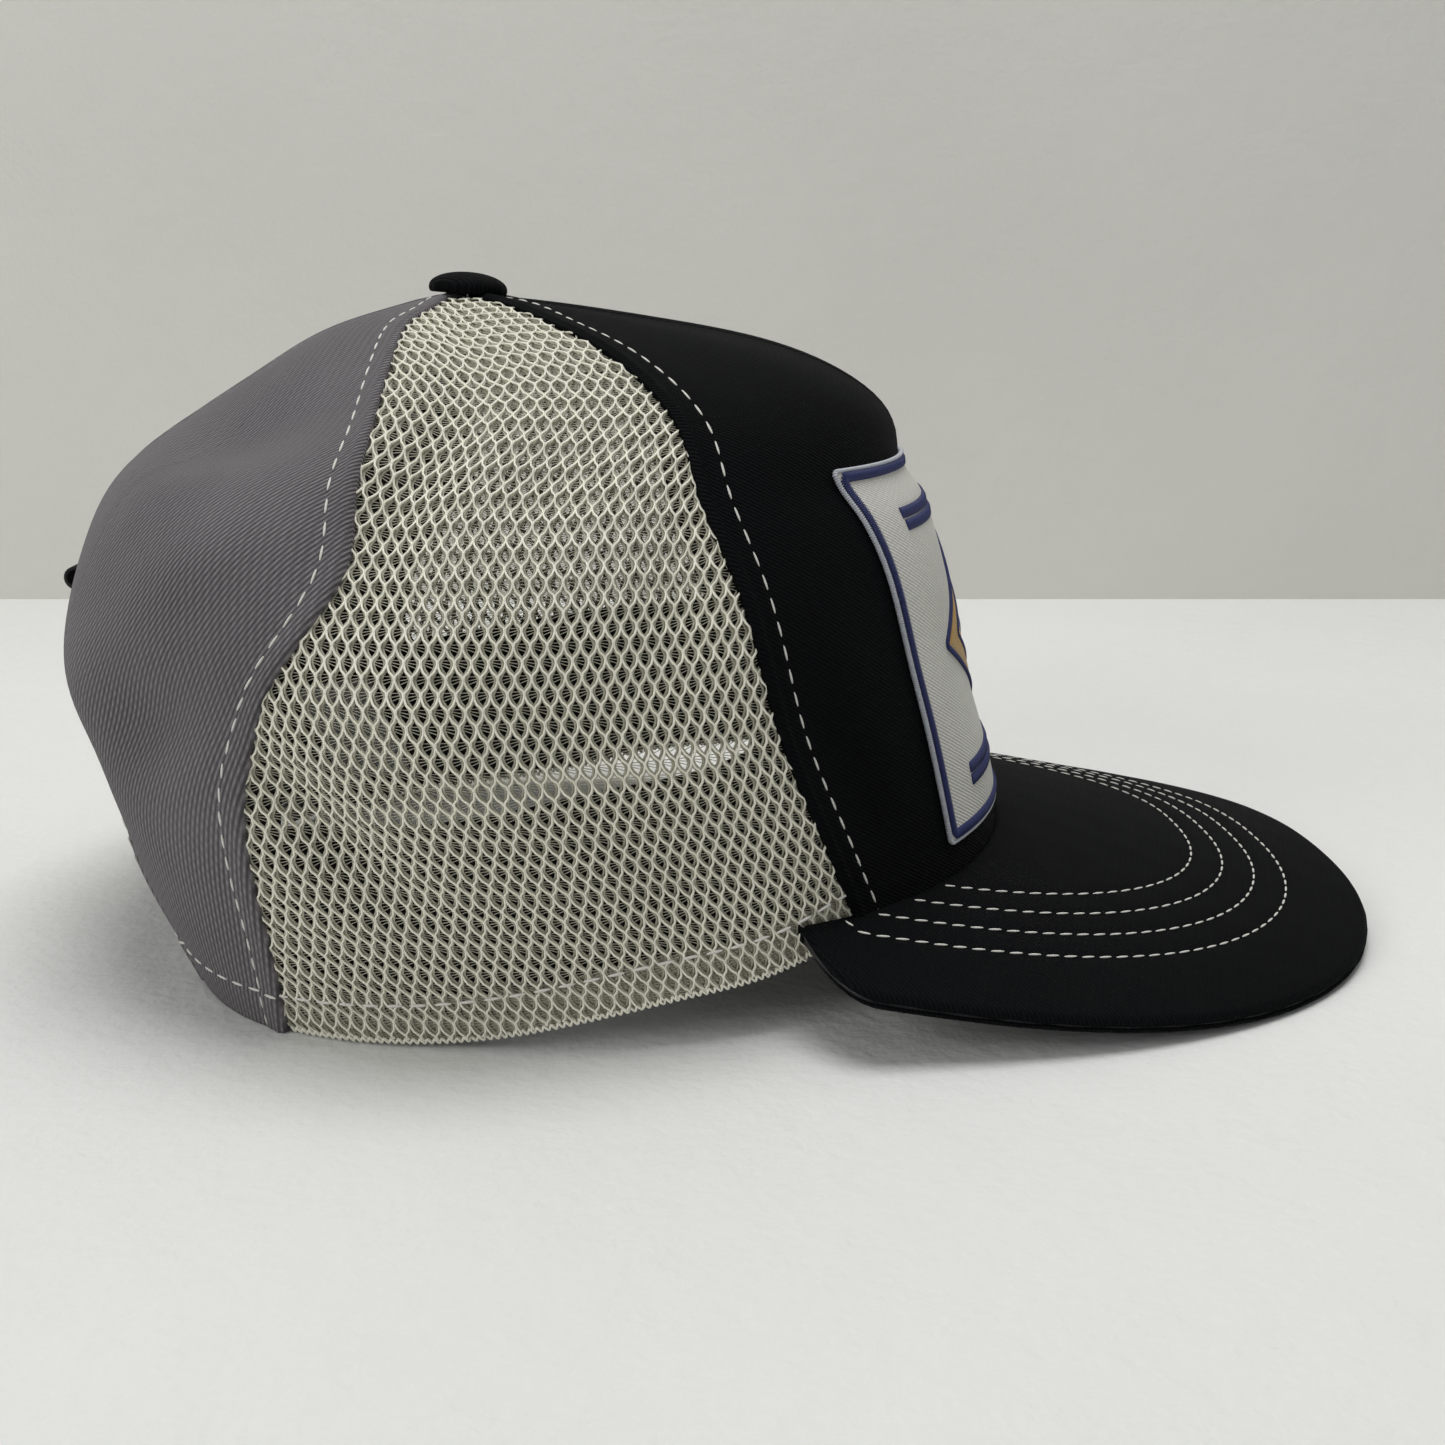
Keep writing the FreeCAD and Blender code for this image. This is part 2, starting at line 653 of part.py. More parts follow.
radius, rise = size("button_radius"), size("button_rise")
cloth_in = radius - size("button_cloth")
metal_in = cloth_in - 0.1 - size("button_metal")
shell_top = rise - size("button_cloth") - 0.1
turned_body("button_cover", button_placement,
            [(cloth_in, 0.3)] + dome(radius, 1.6, rise) + dome(cloth_in, 1.6, rise - size("button_cloth"))[::-1])
turned_body("button_shell", button_placement,
            [(metal_in, 0.3), (cloth_in - 0.1, 0.3)] + dome(cloth_in - 0.1, 1.6, shell_top)
            + dome(metal_in, 1.6, shell_top - size("button_metal"))[::-1])
washer_top = crown_top - cloth - 0.75
prong_foot = washer_top - button_seat - size("button_metal") - 0.9
prong_head = shell_top - size("button_metal") - 0.1
prong = size("prong_radius")
turned_body("button_prong", button_placement,
            [(0, prong_foot), (prong * 2.2, prong_foot), (prong * 2.2, prong_foot + 0.5),
             (prong, prong_foot + 0.5), (prong, prong_head), (0, prong_head)])
bore = prong + 0.2
turned_body("button_washer", button_placement,
            [(bore, washer_top - button_seat - size("button_metal")),
             (size("washer_radius"), washer_top - button_seat - size("button_metal")),
             (size("washer_radius"), washer_top - button_seat), (bore, washer_top - button_seat)])

# ---------------------------------------------------------------- snap closure
# The straps are bands of a leaning cylinder. Each body's Z axis is the cylinder's axis, and its X axis
# points at the strap's first snap. Angles are measured from the back; the hole strap roots on the right.
strap_lean = Rotation(Vector(0, 1, 0), -size("strap_tilt"))
back_base = climb_to(size("strap_base"))
rear_wall = crown_point(180, back_base)
outside = size("strap_radius")
axis_foot = Vector(rear_wall.x + size("strap_inset"), 0, size("strap_base")) + strap_lean.multVec(Vector(outside, 0, 0))


def strap_placement(from_back):
    """The leaning frame, turned so that X points to some degrees left of the back."""
    return Placement(axis_foot, strap_lean.multiply(Rotation(Vector(0, 0, 1), 180 - from_back)))


def band_body(name, placement, outer, low, high):
    """A curved band between two angles of its body's frame."""
    body = new_body(name, placement)
    sketch = new_sketch(body, f"{name}_outline", "XY_Plane")
    inner = outer - size("strap_thickness")
    arcs = [sketch.addGeometry(Part.ArcOfCircle(Part.Circle(Vector(0, 0, 0), Vector(0, 0, 1), r),
                                                math.radians(low), math.radians(high)), False)
            for r in (inner, outer)]
    for end, angle in ((2, high), (1, low)):
        ray = Vector(math.cos(math.radians(angle)), math.sin(math.radians(angle)), 0)
        side = sketch.addGeometry(Part.LineSegment(ray * inner, ray * outer), False)
        sketch.addConstraint(Sketcher.Constraint("Coincident", side, 1, arcs[0], end))
        sketch.addConstraint(Sketcher.Constraint("Coincident", side, 2, arcs[1], end))
    pad = body.newObject("PartDesign::Pad", f"{name}_band")
    pad.Profile = sketch
    pad.Length = size("strap_height")
    sketch.Visibility = False
    doc.recompute()
    return body


def snap_circle(body, name, radius, distance):
    """A circle across the strap's first snap, at a distance from the cylinder's axis."""
    sketch = new_sketch(body, name, "YZ_Plane", Placement(Vector(0, 0, distance), Rotation()))
    sketch.addGeometry(Part.Circle(Vector(0, size("strap_height") / 2, 0), Vector(0, 0, 1), radius), False)
    sketch.addConstraint(Sketcher.Constraint("Radius", 0, radius))
    sketch.Visibility = False
    return sketch


def repeat_snaps(body, snap, count):
    """The first snap repeated round the cylinder's axis."""
    pattern = body.newObject("PartDesign::PolarPattern", f"{snap.Name}_row")
    pattern.Originals = [snap]
    pattern.Axis = (next(f for f in body.Origin.OriginFeatures if f.Role == "Z_Axis"), [""])
    pattern.Angle = size("snap_pitch") * (count - 1)
    pattern.Occurrences = count
    body.Tip = pattern
    doc.recompute()


root, pitch = size("strap_root"), size("snap_pitch")
last_closed = pitch * (SNAPS_CLOSED - 1) / 2
peg_outside = outside - size("strap_thickness") - size("strap_gap")
end = size("strap_end")

# The outer strap roots on the right and has the holes. Its first hole is the last closed one on the left.
hole_strap = band_body("snap_strap_holes", strap_placement(last_closed), outside, -end, last_closed + root)
hole = hole_strap.newObject("PartDesign::Pocket", "snap_hole")
hole.Profile = snap_circle(hole_strap, "snap_hole_circle", size("hole_radius"), outside + 1)
hole.Length = size("strap_thickness") + 2
doc.recompute()
repeat_snaps(hole_strap, hole, HOLE_COUNT)

# The inner strap roots on the left and has the pegs. Its last peg is the last closed one on the right.
peg_start = pitch * (PEG_COUNT - 1) - last_closed
peg_strap = band_body("snap_strap_pegs", strap_placement(peg_start), peg_outside,
                      peg_start - root, pitch * (PEG_COUNT - 1) + end)
peg = peg_strap.newObject("PartDesign::Pad", "snap_peg")
peg.Profile = snap_circle(peg_strap, "snap_peg_circle", size("peg_radius"), peg_outside - 0.5)
peg.Length = size("peg_length") + 0.5
doc.recompute()
repeat_snaps(peg_strap, peg, PEG_COUNT)

anchor_start = root + size("strap_root_gap")
anchor_end = anchor_start + size("strap_anchor")
band_body("strap_anchor_right", strap_placement(0), outside, anchor_start, anchor_end)
band_body("strap_anchor_left", strap_placement(0), peg_outside, -anchor_end, -anchor_start)

# ---------------------------------------------------------------- tab at the back and care label
tab_wall = crown_point(180, climb_to(size("tab_base") + size("tab_height") / 2)).x - 0.8
tab_out, tab_leaf, tab_high = size("tab_depth"), size("tab_leaf"), size("tab_height")
tab_place = Placement(Vector(tab_wall, size("tab_width") / 2, size("tab_base")), Rotation())
tab = new_body("rear_tab", tab_place)
tab_sketch = new_sketch(tab, "rear_tab_fold", "XZ_Plane")
draw_loop(tab_sketch, [(0, 0), (0.6 - tab_out, 0), (-tab_out, 1.0), (-tab_out, tab_high - 1.0),
                       (0.6 - tab_out, tab_high), (0, tab_high), (0, tab_high - tab_leaf),
                       (0.4 - tab_out + tab_leaf, tab_high - tab_leaf), (0.4 - tab_out + tab_leaf, tab_leaf),
                       (0, tab_leaf)])
tab_pad = tab.newObject("PartDesign::Pad", "rear_tab_width")
tab_pad.Profile = tab_sketch
tab_pad.Length = size("tab_width")
tab_sketch.Visibility = False
doc.recompute()

label_inset = sweatband_inset + size("sweatband_thickness") + size("layer_gap")


def label_place(across, up):
    """On the inside of the sweatband, towards the back of the left side."""
    turn = size("label_turn")
    climb = hem_climb(turn, size("label_lift") + up * size("label_height"))
    return turn + (across - 0.5) * degrees_for(size("label_width"), turn, climb), climb


add_shape("care_label", crown_layer(label_place, label_inset, size("label_thickness"), 7, 5))

# ---------------------------------------------------------------- check and export
doc.recompute()
for item in doc.Objects:
    if {"Invalid", "Error"} & set(item.State):
        raise RuntimeError(f"{item.Name} did not build: {item.State}")
os.makedirs("parts", exist_ok=True)
for node, item in pieces.items():
    shape = item.Shape
    if shape.isNull() or not shape.isValid() or len(shape.Solids) != 1:
        raise RuntimeError(f"{node} is not one sound solid")
    shape.exportStep(f"parts/{node}.step")
print(f"{len(pieces)} sub-parts exported")
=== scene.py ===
# %% [markdown]
# # A trucker cap, cell by cell
#
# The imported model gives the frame: every piece below is in metres, with +X to the front of the cap,
# +Y to the wearer's left and +Z up. The frame's cloth is plain closed solids. This script replaces them
# with real cloth, knit, thread and trim, and gives the hard parts their finishes.

# %% Load the frame
import math
import bpy
import numpy as np
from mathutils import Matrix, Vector


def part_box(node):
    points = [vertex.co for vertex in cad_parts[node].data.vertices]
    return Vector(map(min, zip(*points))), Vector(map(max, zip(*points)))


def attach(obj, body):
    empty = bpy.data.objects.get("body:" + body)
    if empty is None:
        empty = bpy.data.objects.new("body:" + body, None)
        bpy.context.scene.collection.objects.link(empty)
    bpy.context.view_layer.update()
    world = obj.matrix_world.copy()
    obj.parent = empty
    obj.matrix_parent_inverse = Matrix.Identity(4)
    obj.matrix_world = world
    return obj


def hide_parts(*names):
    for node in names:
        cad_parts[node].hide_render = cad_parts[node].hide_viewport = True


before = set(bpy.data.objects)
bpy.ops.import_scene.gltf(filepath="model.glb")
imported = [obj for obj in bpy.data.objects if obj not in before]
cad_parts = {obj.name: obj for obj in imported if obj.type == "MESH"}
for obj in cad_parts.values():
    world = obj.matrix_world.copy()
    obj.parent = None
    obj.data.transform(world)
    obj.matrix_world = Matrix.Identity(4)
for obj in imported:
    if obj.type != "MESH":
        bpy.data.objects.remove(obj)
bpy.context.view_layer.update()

# %% [markdown]
# ## Camera and stage
#
# A camera is three things: where it stands, where it looks and how wide it sees. It goes in first, because
# every later decision about detail depends on how large a piece shows. The cap stands on a pale floor in
# front of a plain wall. The wall lets light and sight through from behind, so that a view from the far side
# isn't blocked. It is a flat sheet whose back is transparent, which is simpler than a wall that moves.

# %% The camera
def put(name, data, spot=(0, 0, 0), look=None):
    """An object in the scene, at a spot and turned to look along a direction."""
    made = bpy.data.objects.new(name, data)
    made.location = spot
    if look is not None:
        made.rotation_mode = "QUATERNION"
        made.rotation_quaternion = look.to_track_quat("-Z", "Y")
    bpy.context.scene.collection.objects.link(made)
    return made


CAMERA_BACK = 0.3308      # metres from the middle of the cap, along the camera's own heading
CAMERA_HEIGHT = 0.1316
CAMERA_DOWN = 0.2751      # radians below level
CAMERA_TURN = 0.0511      # radians that the cap's front is turned away
CAMERA_SHIFT = -0.0007
CAMERA_SEES = 0.932258    # metres across, at one metre away


def place_camera():
    data = bpy.data.cameras.new("camera")
    data.angle = 2 * math.atan(CAMERA_SEES / 2)
    data.clip_start, data.clip_end = 0.01, 20
    heading = Vector((math.sin(CAMERA_TURN), math.cos(CAMERA_TURN), 0))
    spot = heading * -CAMERA_BACK
    look = heading * math.cos(CAMERA_DOWN) + Vector((0, 0, -math.sin(CAMERA_DOWN)))
    camera = put("camera", data, (spot.x + CAMERA_SHIFT, spot.y, CAMERA_HEIGHT), look)
    bpy.context.scene.camera = camera
    return camera, heading


camera, heading = place_camera()
print("camera at", [round(v, 4) for v in camera.location])

# %% [markdown]
# ## Writing a material as maths
#
# A pattern such as twill is a few sums and sines. Node by node that is long, so one small class wraps a
# socket and lets Python's own operators add the Math nodes. `Paint` holds one material: it makes nodes and
# wires its shader.

# %% Sockets that can be added and multiplied
class Value:
    """A number that changes over a surface."""

    def __init__(self, paint, socket):
        self.paint, self.socket = paint, socket

    def maths(self, operation, *others):
        return self.paint.node("ShaderNodeMath", {"operation": operation}, [self, *others])

    def __add__(self, other): return self.maths("ADD", other)
    def __sub__(self, other): return self.maths("SUBTRACT", other)
    def __mul__(self, other): return self.maths("MULTIPLY", other)
    def __pow__(self, other): return self.maths("POWER", other)
    def sine(self): return self.maths("SINE")
    def floor(self): return self.maths("FLOOR")
    def fraction(self): return self.maths("FRACT")
    def size(self): return self.maths("ABSOLUTE")

    def ramp(self, low, high):
        """0 below low, 1 above high, smooth between."""
        return self.paint.node("ShaderNodeMapRange", {"interpolation_type": "SMOOTHSTEP"},
                               [self, low, high, 0.0, 1.0])


class Paint:
    """One material and its nodes."""

    def __init__(self, name):
        self.material = bpy.data.materials.new(name)
        self.material.use_nodes = True
        self.tree = self.material.node_tree
        self.shader = self.tree.nodes["Principled BSDF"]

    def plug(self, value, socket):
        """Links a value to a socket, or sets a plain one there."""
        if isinstance(value, Value):
            self.tree.links.new(value.socket, socket)
        else:
            socket.default_value = value

    def node(self, kind, settings, inputs, output=0):
        """A node of any kind: its settings first, then its sockets' values or links, in order or by name."""
        made = self.tree.nodes.new(kind)
        for name, value in settings.items():
            setattr(made, name, value)
        for key, value in inputs.items() if isinstance(inputs, dict) else enumerate(inputs):
            self.plug(value, made.inputs[key])
        return Value(self, made.outputs[output])

    def cloth_axes(self):
        """Millimetres across and up the cloth, from its own UV map."""
        uv = self.node("ShaderNodeUVMap", {"uv_map": "cloth"}, [])
        parts = self.tree.nodes.new("ShaderNodeSeparateXYZ")
        self.tree.links.new(uv.socket, parts.inputs[0])
        return Value(self, parts.outputs[0]), Value(self, parts.outputs[1])

    def position(self):
        """The place on the piece, in its object's metres."""
        coordinates = self.tree.nodes.new("ShaderNodeTexCoord")
        return Value(self, coordinates.outputs["Object"])

    def noise(self, where, scale, detail=2.0):
        return self.node("ShaderNodeTexNoise", {}, {"Vector": where, "Scale": scale, "Detail": detail})

    def mix(self, share, low, high):
        """A colour between two, each a plain colour or a link."""
        low, high = (c if isinstance(c, Value) else (*c, 1.0) for c in (low, high))
        return self.node("ShaderNodeMix", {"data_type": "RGBA"}, {0: share, 6: low, 7: high}, output=2)

    def finish(self, colour, height, depth=0.0002, strength=1.0, **others):
        """Wires the shader: its colour, a bump from a height, and its other sockets by name."""
        others["base_color"] = colour
        others["normal"] = self.node("ShaderNodeBump", {}, {"Strength": strength, "Distance": depth,
                                                            "Height": height})
        for name, value in others.items():
            self.plug(value, self.shader.inputs[name.replace("_", " ").title().replace("Ior", "IOR")])
        return self.material


# %% Floor, wall and light
def stage_material(name, colour, grain, see_through_back=False):
    paint = Paint(name)
    where = paint.position()
    mottle = paint.noise(where, 9.0, 3.0)
    shade = paint.mix(mottle, [c * 0.96 for c in colour], [min(c * 1.04, 1) for c in colour])
    speck = paint.noise(where, 420.0, 2.0)
    material = paint.finish(shade, height=speck * grain + paint.noise(where, 90.0, 2.0) * grain * 2,
                            depth=0.0006, roughness=0.75)
    if see_through_back:
        tree = paint.tree
        geometry = tree.nodes.new("ShaderNodeNewGeometry")
        clear = tree.nodes.new("ShaderNodeBsdfTransparent")
        both = tree.nodes.new("ShaderNodeMixShader")
        tree.links.new(geometry.outputs["Backfacing"], both.inputs[0])
        tree.links.new(paint.shader.outputs[0], both.inputs[1])
        tree.links.new(clear.outputs[0], both.inputs[2])
        tree.links.new(both.outputs[0], tree.nodes["Material Output"].inputs[0])
    return material


def flat_sheet(name, corners, material):
    mesh = bpy.data.meshes.new(name)
    mesh.from_pydata([tuple(c) for c in corners], [], [tuple(range(len(corners)))])
    mesh.materials.append(material)
    put(name, mesh)


side = Vector((heading.y, -heading.x, 0))
WALL_AWAY, WALL_HEIGHT, WALL_HALF, FLOOR_HALF = 0.333, 1.6, 3, 4
wall_foot = heading * WALL_AWAY
floor_colour, wall_colour = (0.785, 0.785, 0.762), (0.70, 0.69, 0.645)
flat_sheet("floor", [(x * FLOOR_HALF, y * FLOOR_HALF, 0) for x, y in ((-1, -1), (1, -1), (1, 1), (-1, 1))],
           stage_material("floor_paint", floor_colour, 0.5))
side, up = side * WALL_HALF, Vector((0, 0, WALL_HEIGHT))
flat_sheet("wall", [wall_foot - side, wall_foot + side, wall_foot + side + up, wall_foot - side + up],
           stage_material("wall_paint", wall_colour, 0.25, see_through_back=True))


def area_light(name, spot, target, width, power):
    data = bpy.data.lights.new(name, "AREA")
    data.shape, data.size, data.energy = "DISK", width, power
    put(name, data, spot, Vector(target) - Vector(spot))


area_light("overhead_lamp", (0.06, 0.08, 1.30), (0, 0, 0.05), 0.8, 10.4)
area_light("side_lamp", (-1.15, -0.75, 0.7), (0, 0, 0.06), 0.8, 5.4)

ROOM_COLOUR, ROOM_LIGHT = (0.93, 0.95, 0.97, 1), 0.31
world = bpy.data.worlds.new("room")
bpy.context.scene.world = world
world.use_nodes = True
room = world.node_tree.nodes["Background"].inputs
room["Color"].default_value, room["Strength"].default_value = ROOM_COLOUR, ROOM_LIGHT
bpy.context.scene.view_settings.view_transform = "Standard"
print("stage ready")

# %% [markdown]
# ## The crown as a function
#
# Every cloth layer of a cap follows one form: the head. A table of levels says how far that form reaches to
# the front, the back and the side at each height, and a smooth curve joins the levels. With the form as a
# function of "degrees round from the front" and "millimetres up the profile", a panel is the patch between
# two seams, a tape is a strip along one, and a stitch row is a line at a set distance. The sizes are the
# frame's own. Sculpting each panel by hand would lose that, and neighbours would not meet.

# %% Levels, seams and hem
MM = 0.001
AXIS_X, CROWN_HEIGHT, FRONT_REACH, REAR_REACH, HALF_WIDTH = -52.7, 129.3, 115.0, 82.5, 85.0
CROWN_LEVELS = np.array([
    (-0.0209, 1.0130, 0.6909, 0.9235, 3.0), (0.1183, 0.9826, 0.8000, 0.9471, 2.8),
    (0.2730, 0.9435, 0.9212, 0.9824, 2.5), (0.4741, 0.8783, 1.0000, 1.0000, 2.2),
    (0.6442, 0.8304, 0.9455, 0.9353, 2.0), (0.7602, 0.7783, 0.8242, 0.8294, 2.0),
    (0.8221, 0.7522, 0.6909, 0.7412, 2.0), (0.8786, 0.6783, 0.5455, 0.6294, 2.0),
    (0.9304, 0.5304, 0.4121, 0.4824, 2.0), (0.9667, 0.3217, 0.2788, 0.3176, 2.0),
    (0.9892, 0.1565, 0.1515, 0.1647, 2.0), (0.9977, 0.0696, 0.0909, 0.0882, 2.0),
    (1.0000, 0.0139, 0.0194, 0.0188, 2.0)])
FRONT_SEAM = [(-0.021, 50.5), (0.135, 52.2), (0.278, 54.0), (0.414, 55.8), (0.538, 57.1), (0.667, 59.1),
              (0.794, 63.0), (0.874, 67.5), (0.930, 69.5), (0.961, 67.5), (0.995, 62.0), (1.0, 60.0)]
REAR_SEAM = [(-0.021, 132.0), (0.186, 126.0), (0.325, 122.4), (0.438, 119.0), (0.532, 114.6), (0.609, 110.3),
             (0.681, 108.2), (0.773, 111.5), (0.867, 119.5), (0.941, 124.5), (0.985, 124.5), (1.0, 122.0)]
HEM = [(-4, 0.1353), (20, 0.1353), (40, 0.1346), (52, 0.1300), (60, 0.1050), (68, 0.0855), (78, 0.0719),
       (90, 0.0487), (102, 0.0240), (112, 0.0105), (121, 0.0045), (132, 0.0020), (145, 0.0050),
       (160, 0.0232), (184, 0.0387)]
ARCH_HALF, ARCH_SPRING, ARCH_TOP = 43.0, 25.0, 63.5


def smooth(knots, values):
    """A natural cubic spline."""
    knots, values = np.asarray(knots, float), np.asarray(values, float)
    count, steps = len(knots), np.diff(knots)
    system, slopes = np.eye(count), np.zeros(count)
    for i in range(1, count - 1):
        system[i, i - 1:i + 2] = steps[i - 1], 2 * (steps[i - 1] + steps[i]), steps[i]
        slopes[i] = 6 * ((values[i + 1] - values[i]) / steps[i] - (values[i] - values[i - 1]) / steps[i - 1])
    bends = np.linalg.solve(system, slopes)

    def value(at):
        at = np.asarray(at, float)
        i = np.clip(np.searchsorted(knots, at) - 1, 0, count - 2)
        a, b = (knots[i + 1] - at) / steps[i], (at - knots[i]) / steps[i]
        curve = (a ** 3 - a) * bends[i] + (b ** 3 - b) * bends[i + 1]
        return a * values[i] + b * values[i + 1] + curve * steps[i] ** 2 / 6

    return value


level_height = CROWN_LEVELS[:, 0] * CROWN_HEIGHT
level_front = AXIS_X + CROWN_LEVELS[:, 1] * FRONT_REACH
level_rear = AXIS_X - CROWN_LEVELS[:, 2] * REAR_REACH
mean_reach = (level_front - level_rear) / 2
climb_knots = np.concatenate([[0], np.cumsum(np.hypot(np.diff(mean_reach), np.diff(level_height)))])
CROWN_TOP = climb_knots[-1]
crown_curves = [smooth(climb_knots, column) for column in
                (level_height, level_front, level_rear, CROWN_LEVELS[:, 3] * HALF_WIDTH, CROWN_LEVELS[:, 4])]
print("the profile is", round(float(CROWN_TOP), 1), "mm from hem to button")


# %% The form, its direction and its creases
def form_point(angle, climb):
    """The smooth form, in millimetres."""
    height, front, rear, width, square = (curve(climb) for curve in crown_curves)
    length, middle = (front - rear) / 2, (front + rear) / 2
    along, across = np.cos(np.radians(angle)), np.sin(np.radians(angle))
    power = np.where(along < 0, square, 2.0)
    radius = ((abs(along) / length) ** power + (abs(across) / width) ** power) ** (-1 / power)
    return np.stack([middle + radius * along, radius * across, height + 0 * along], -1)


def form_normal(angle, climb):
    """The form's outward direction."""
    round_it = form_point(angle + 0.2, climb) - form_point(angle - 0.2, climb)
    up_it = form_point(angle, climb + 0.2) - form_point(angle, climb - 0.2)
    out = np.cross(round_it, up_it)
    return out / np.linalg.norm(out, axis=-1, keepdims=True)


# Soft dents, each as (middle in degrees, middle height, spread in degrees, spread up, lean, depth).
# Degrees are negative on the wearer's right. Lean turns the crease as it rises.
DENTS = [
    (-104, 96, 8, 22, 0.02, 4.4), (-97, 60, 8, 14, -0.45, -3.2), (-114, 46, 6, 15, -0.30, 4.6),
    (-133, 58, 10, 11, 0.45, 4.6), (-150, 62, 7, 16, -0.25, -1.6), (-160, 42, 10, 15, 0.0, 6.4),
    (-146, 107, 19, 7, 0.10, 5.2), (-128, 86, 9, 7, 0.35, -1.8), (-84, 100, 9, 10, 0.2, 2.2),
    (-74, 32, 8, 12, 0.2, 1.6), (-66, 84, 5, 16, 0.15, 1.5), (-20, 96, 26, 4.0, 0.0, 1.4),
    (20, 96, 26, 4.0, 0.0, 1.4), (-48, 48, 5, 20, -0.15, 1.4), (104, 80, 8, 22, 0.05, 3.4),
    (128, 60, 8, 12, 0.4, 3.2), (157, 42, 10, 14, 0.1, -7.5), (150, 105, 17, 7, 0, 4.0),
    (84, 46, 8, 14, 0.3, 2.2), (97, 52, 6, 14, -0.3, -1.8), (48, 52, 6, 18, 0.2, 1.2)]


def dent(angle, climb):
    """How far the cloth is pushed in, in millimetres."""
    height = crown_curves[0](climb)
    total = 0.0
    for middle, middle_height, wide, tall, lean, depth in DENTS:
        rise = height - middle_height
        away = (angle - middle - lean * rise + 180) % 360 - 180
        total = total + depth * np.exp(-(away / wide) ** 2 - (rise / tall) ** 2)
    ripple = 0.25 * np.sin(np.radians(angle) * 9.0 + height * 0.11) * np.sin(height * 0.083 + 1.3)
    return (total + ripple) * np.clip((CROWN_TOP - climb) / 26, 0, 1) * np.clip((height - 6) / 24, 0.06, 1)


def cloth_point(angle, climb, inset):
    """A place on the cap at an inset under the outer cloth, creases included, in millimetres."""
    return form_point(angle, climb) - form_normal(angle, climb) * (inset + dent(angle, climb))[..., None]


def travelled(points):
    """Distance along a line to each of its points."""
    return np.concatenate([[0], np.cumsum(np.linalg.norm(np.diff(points, axis=0), axis=1))])


def level(value):
    """A line that stays at one climb, or at one angle."""
    return lambda place: np.full(np.shape(place), float(value))


def degrees_to(reach, climb, first=105, last=180, count=600):
    """Degrees round to where the form's rear half is some millimetres from the middle line."""
    reach, climb = np.broadcast_arrays(reach, climb)
    trial = np.linspace(first, last, count)
    across = form_point(trial[None, :], climb.ravel()[:, None])[..., 1]
    return np.reshape([np.interp(-r, -row, trial) for r, row in zip(reach.ravel(), across)], climb.shape)


heights = np.linspace(0, CROWN_TOP, 1200)


def climb_to(height):
    """Millimetres up the profile to a height."""
    return np.interp(height, crown_curves[0](heights), heights)


def climb_to_radius(radius):
    """Millimetres up the profile to a ring round the button."""
    upper = heights[heights > CROWN_TOP / 2]
    return np.interp(-radius, -crown_curves[3](upper), upper)


def seam(points):
    """Degrees round, for a climb."""
    return smooth([*climb_to([h * CROWN_HEIGHT for h, _ in points[:-1]]), CROWN_TOP], [a for _, a in points])


front_seam, rear_seam = seam(FRONT_SEAM), seam(REAR_SEAM)
hem_height = smooth([a for a, _ in HEM], [h * CROWN_HEIGHT for _, h in HEM])


def hem(angle, lift=0.0):
    """Millimetres up the profile to the hem, or to a line above it."""
    return climb_to(hem_height(abs(angle))) + lift


def degrees_for(distance, angle, climb):
    """How many degrees round a distance along the cloth is."""
    step = form_point(angle + 0.5, climb) - form_point(angle - 0.5, climb)
    return distance / np.linalg.norm(step, axis=-1)


# %% [markdown]
# ## Cloth with thickness
#
# Sewn cloth isn't a bare surface: it has an outside, an inside and a folded edge. `walled` joins an outer and
# an inner grid of points into one closed mesh. Its UV map is in millimetres of cloth, so that a weave keeps
# one size wherever the panel bends. A Solidify modifier would do the walls, but not a thickness that
# changes, as it does where a seam allowance lies doubled beside a seam.

# %% Shells and places
def new_piece(name, points, faces, material, uv):
    """A mesh from millimetres, riding on the cap."""
    mesh = bpy.data.meshes.new(name)
    mesh.from_pydata((np.asarray(points) * MM).tolist(), [], faces)
    layer = mesh.uv_layers.new(name="cloth")
    corners = np.empty(len(mesh.loops), dtype=np.int32)
    mesh.loops.foreach_get("vertex_index", corners)
    layer.data.foreach_set("uv", np.asarray(uv, dtype=np.float32)[corners].ravel())
    mesh.polygons.foreach_set("use_smooth", [True] * len(mesh.polygons))
    mesh.materials.append(material)
    mesh.update()
    made = put(name, mesh)
    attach(made, "cap")
    return made


def walled(outer_quads, count):
    """Quads of a closed shell: an outer skin, the inner one under it, and walls round every open edge."""
    quads = np.asarray(outer_quads)
    ends = np.roll(quads, -1, axis=1)
    edges = np.stack([quads.ravel(), ends.ravel()], 1)
    known = set(map(tuple, edges.tolist()))
    rim = np.array([e for e in edges.tolist() if (e[1], e[0]) not in known])
    walls = np.stack([rim[:, 1], rim[:, 0], rim[:, 0] + count, rim[:, 1] + count], 1)
    return quads.tolist() + (quads[:, ::-1] + count).tolist() + walls.tolist()


def grid_quads(columns, rows, start=0):
    """Quads of a grid of points, facing outwards."""
    i, j = np.meshgrid(np.arange(columns - 1), np.arange(rows - 1), indexing="ij")
    first = (i * rows + j).ravel() + start
    return np.stack([first, first + rows, first + rows + 1, first + 1], 1)


def quads_area(points, quads):
    """Area of a skin, in square metres."""
    a, b, c, d = (points[quads[:, k]] for k in range(4))
    halves = np.linalg.norm(np.cross(b - a, c - a), axis=-1) + np.linalg.norm(np.cross(c - a, d - a), axis=-1)
    return float(halves.sum() / 2) * MM * MM


NARROWEST = 0.0101        # metres: no side of a declared sheet may be under a centimetre


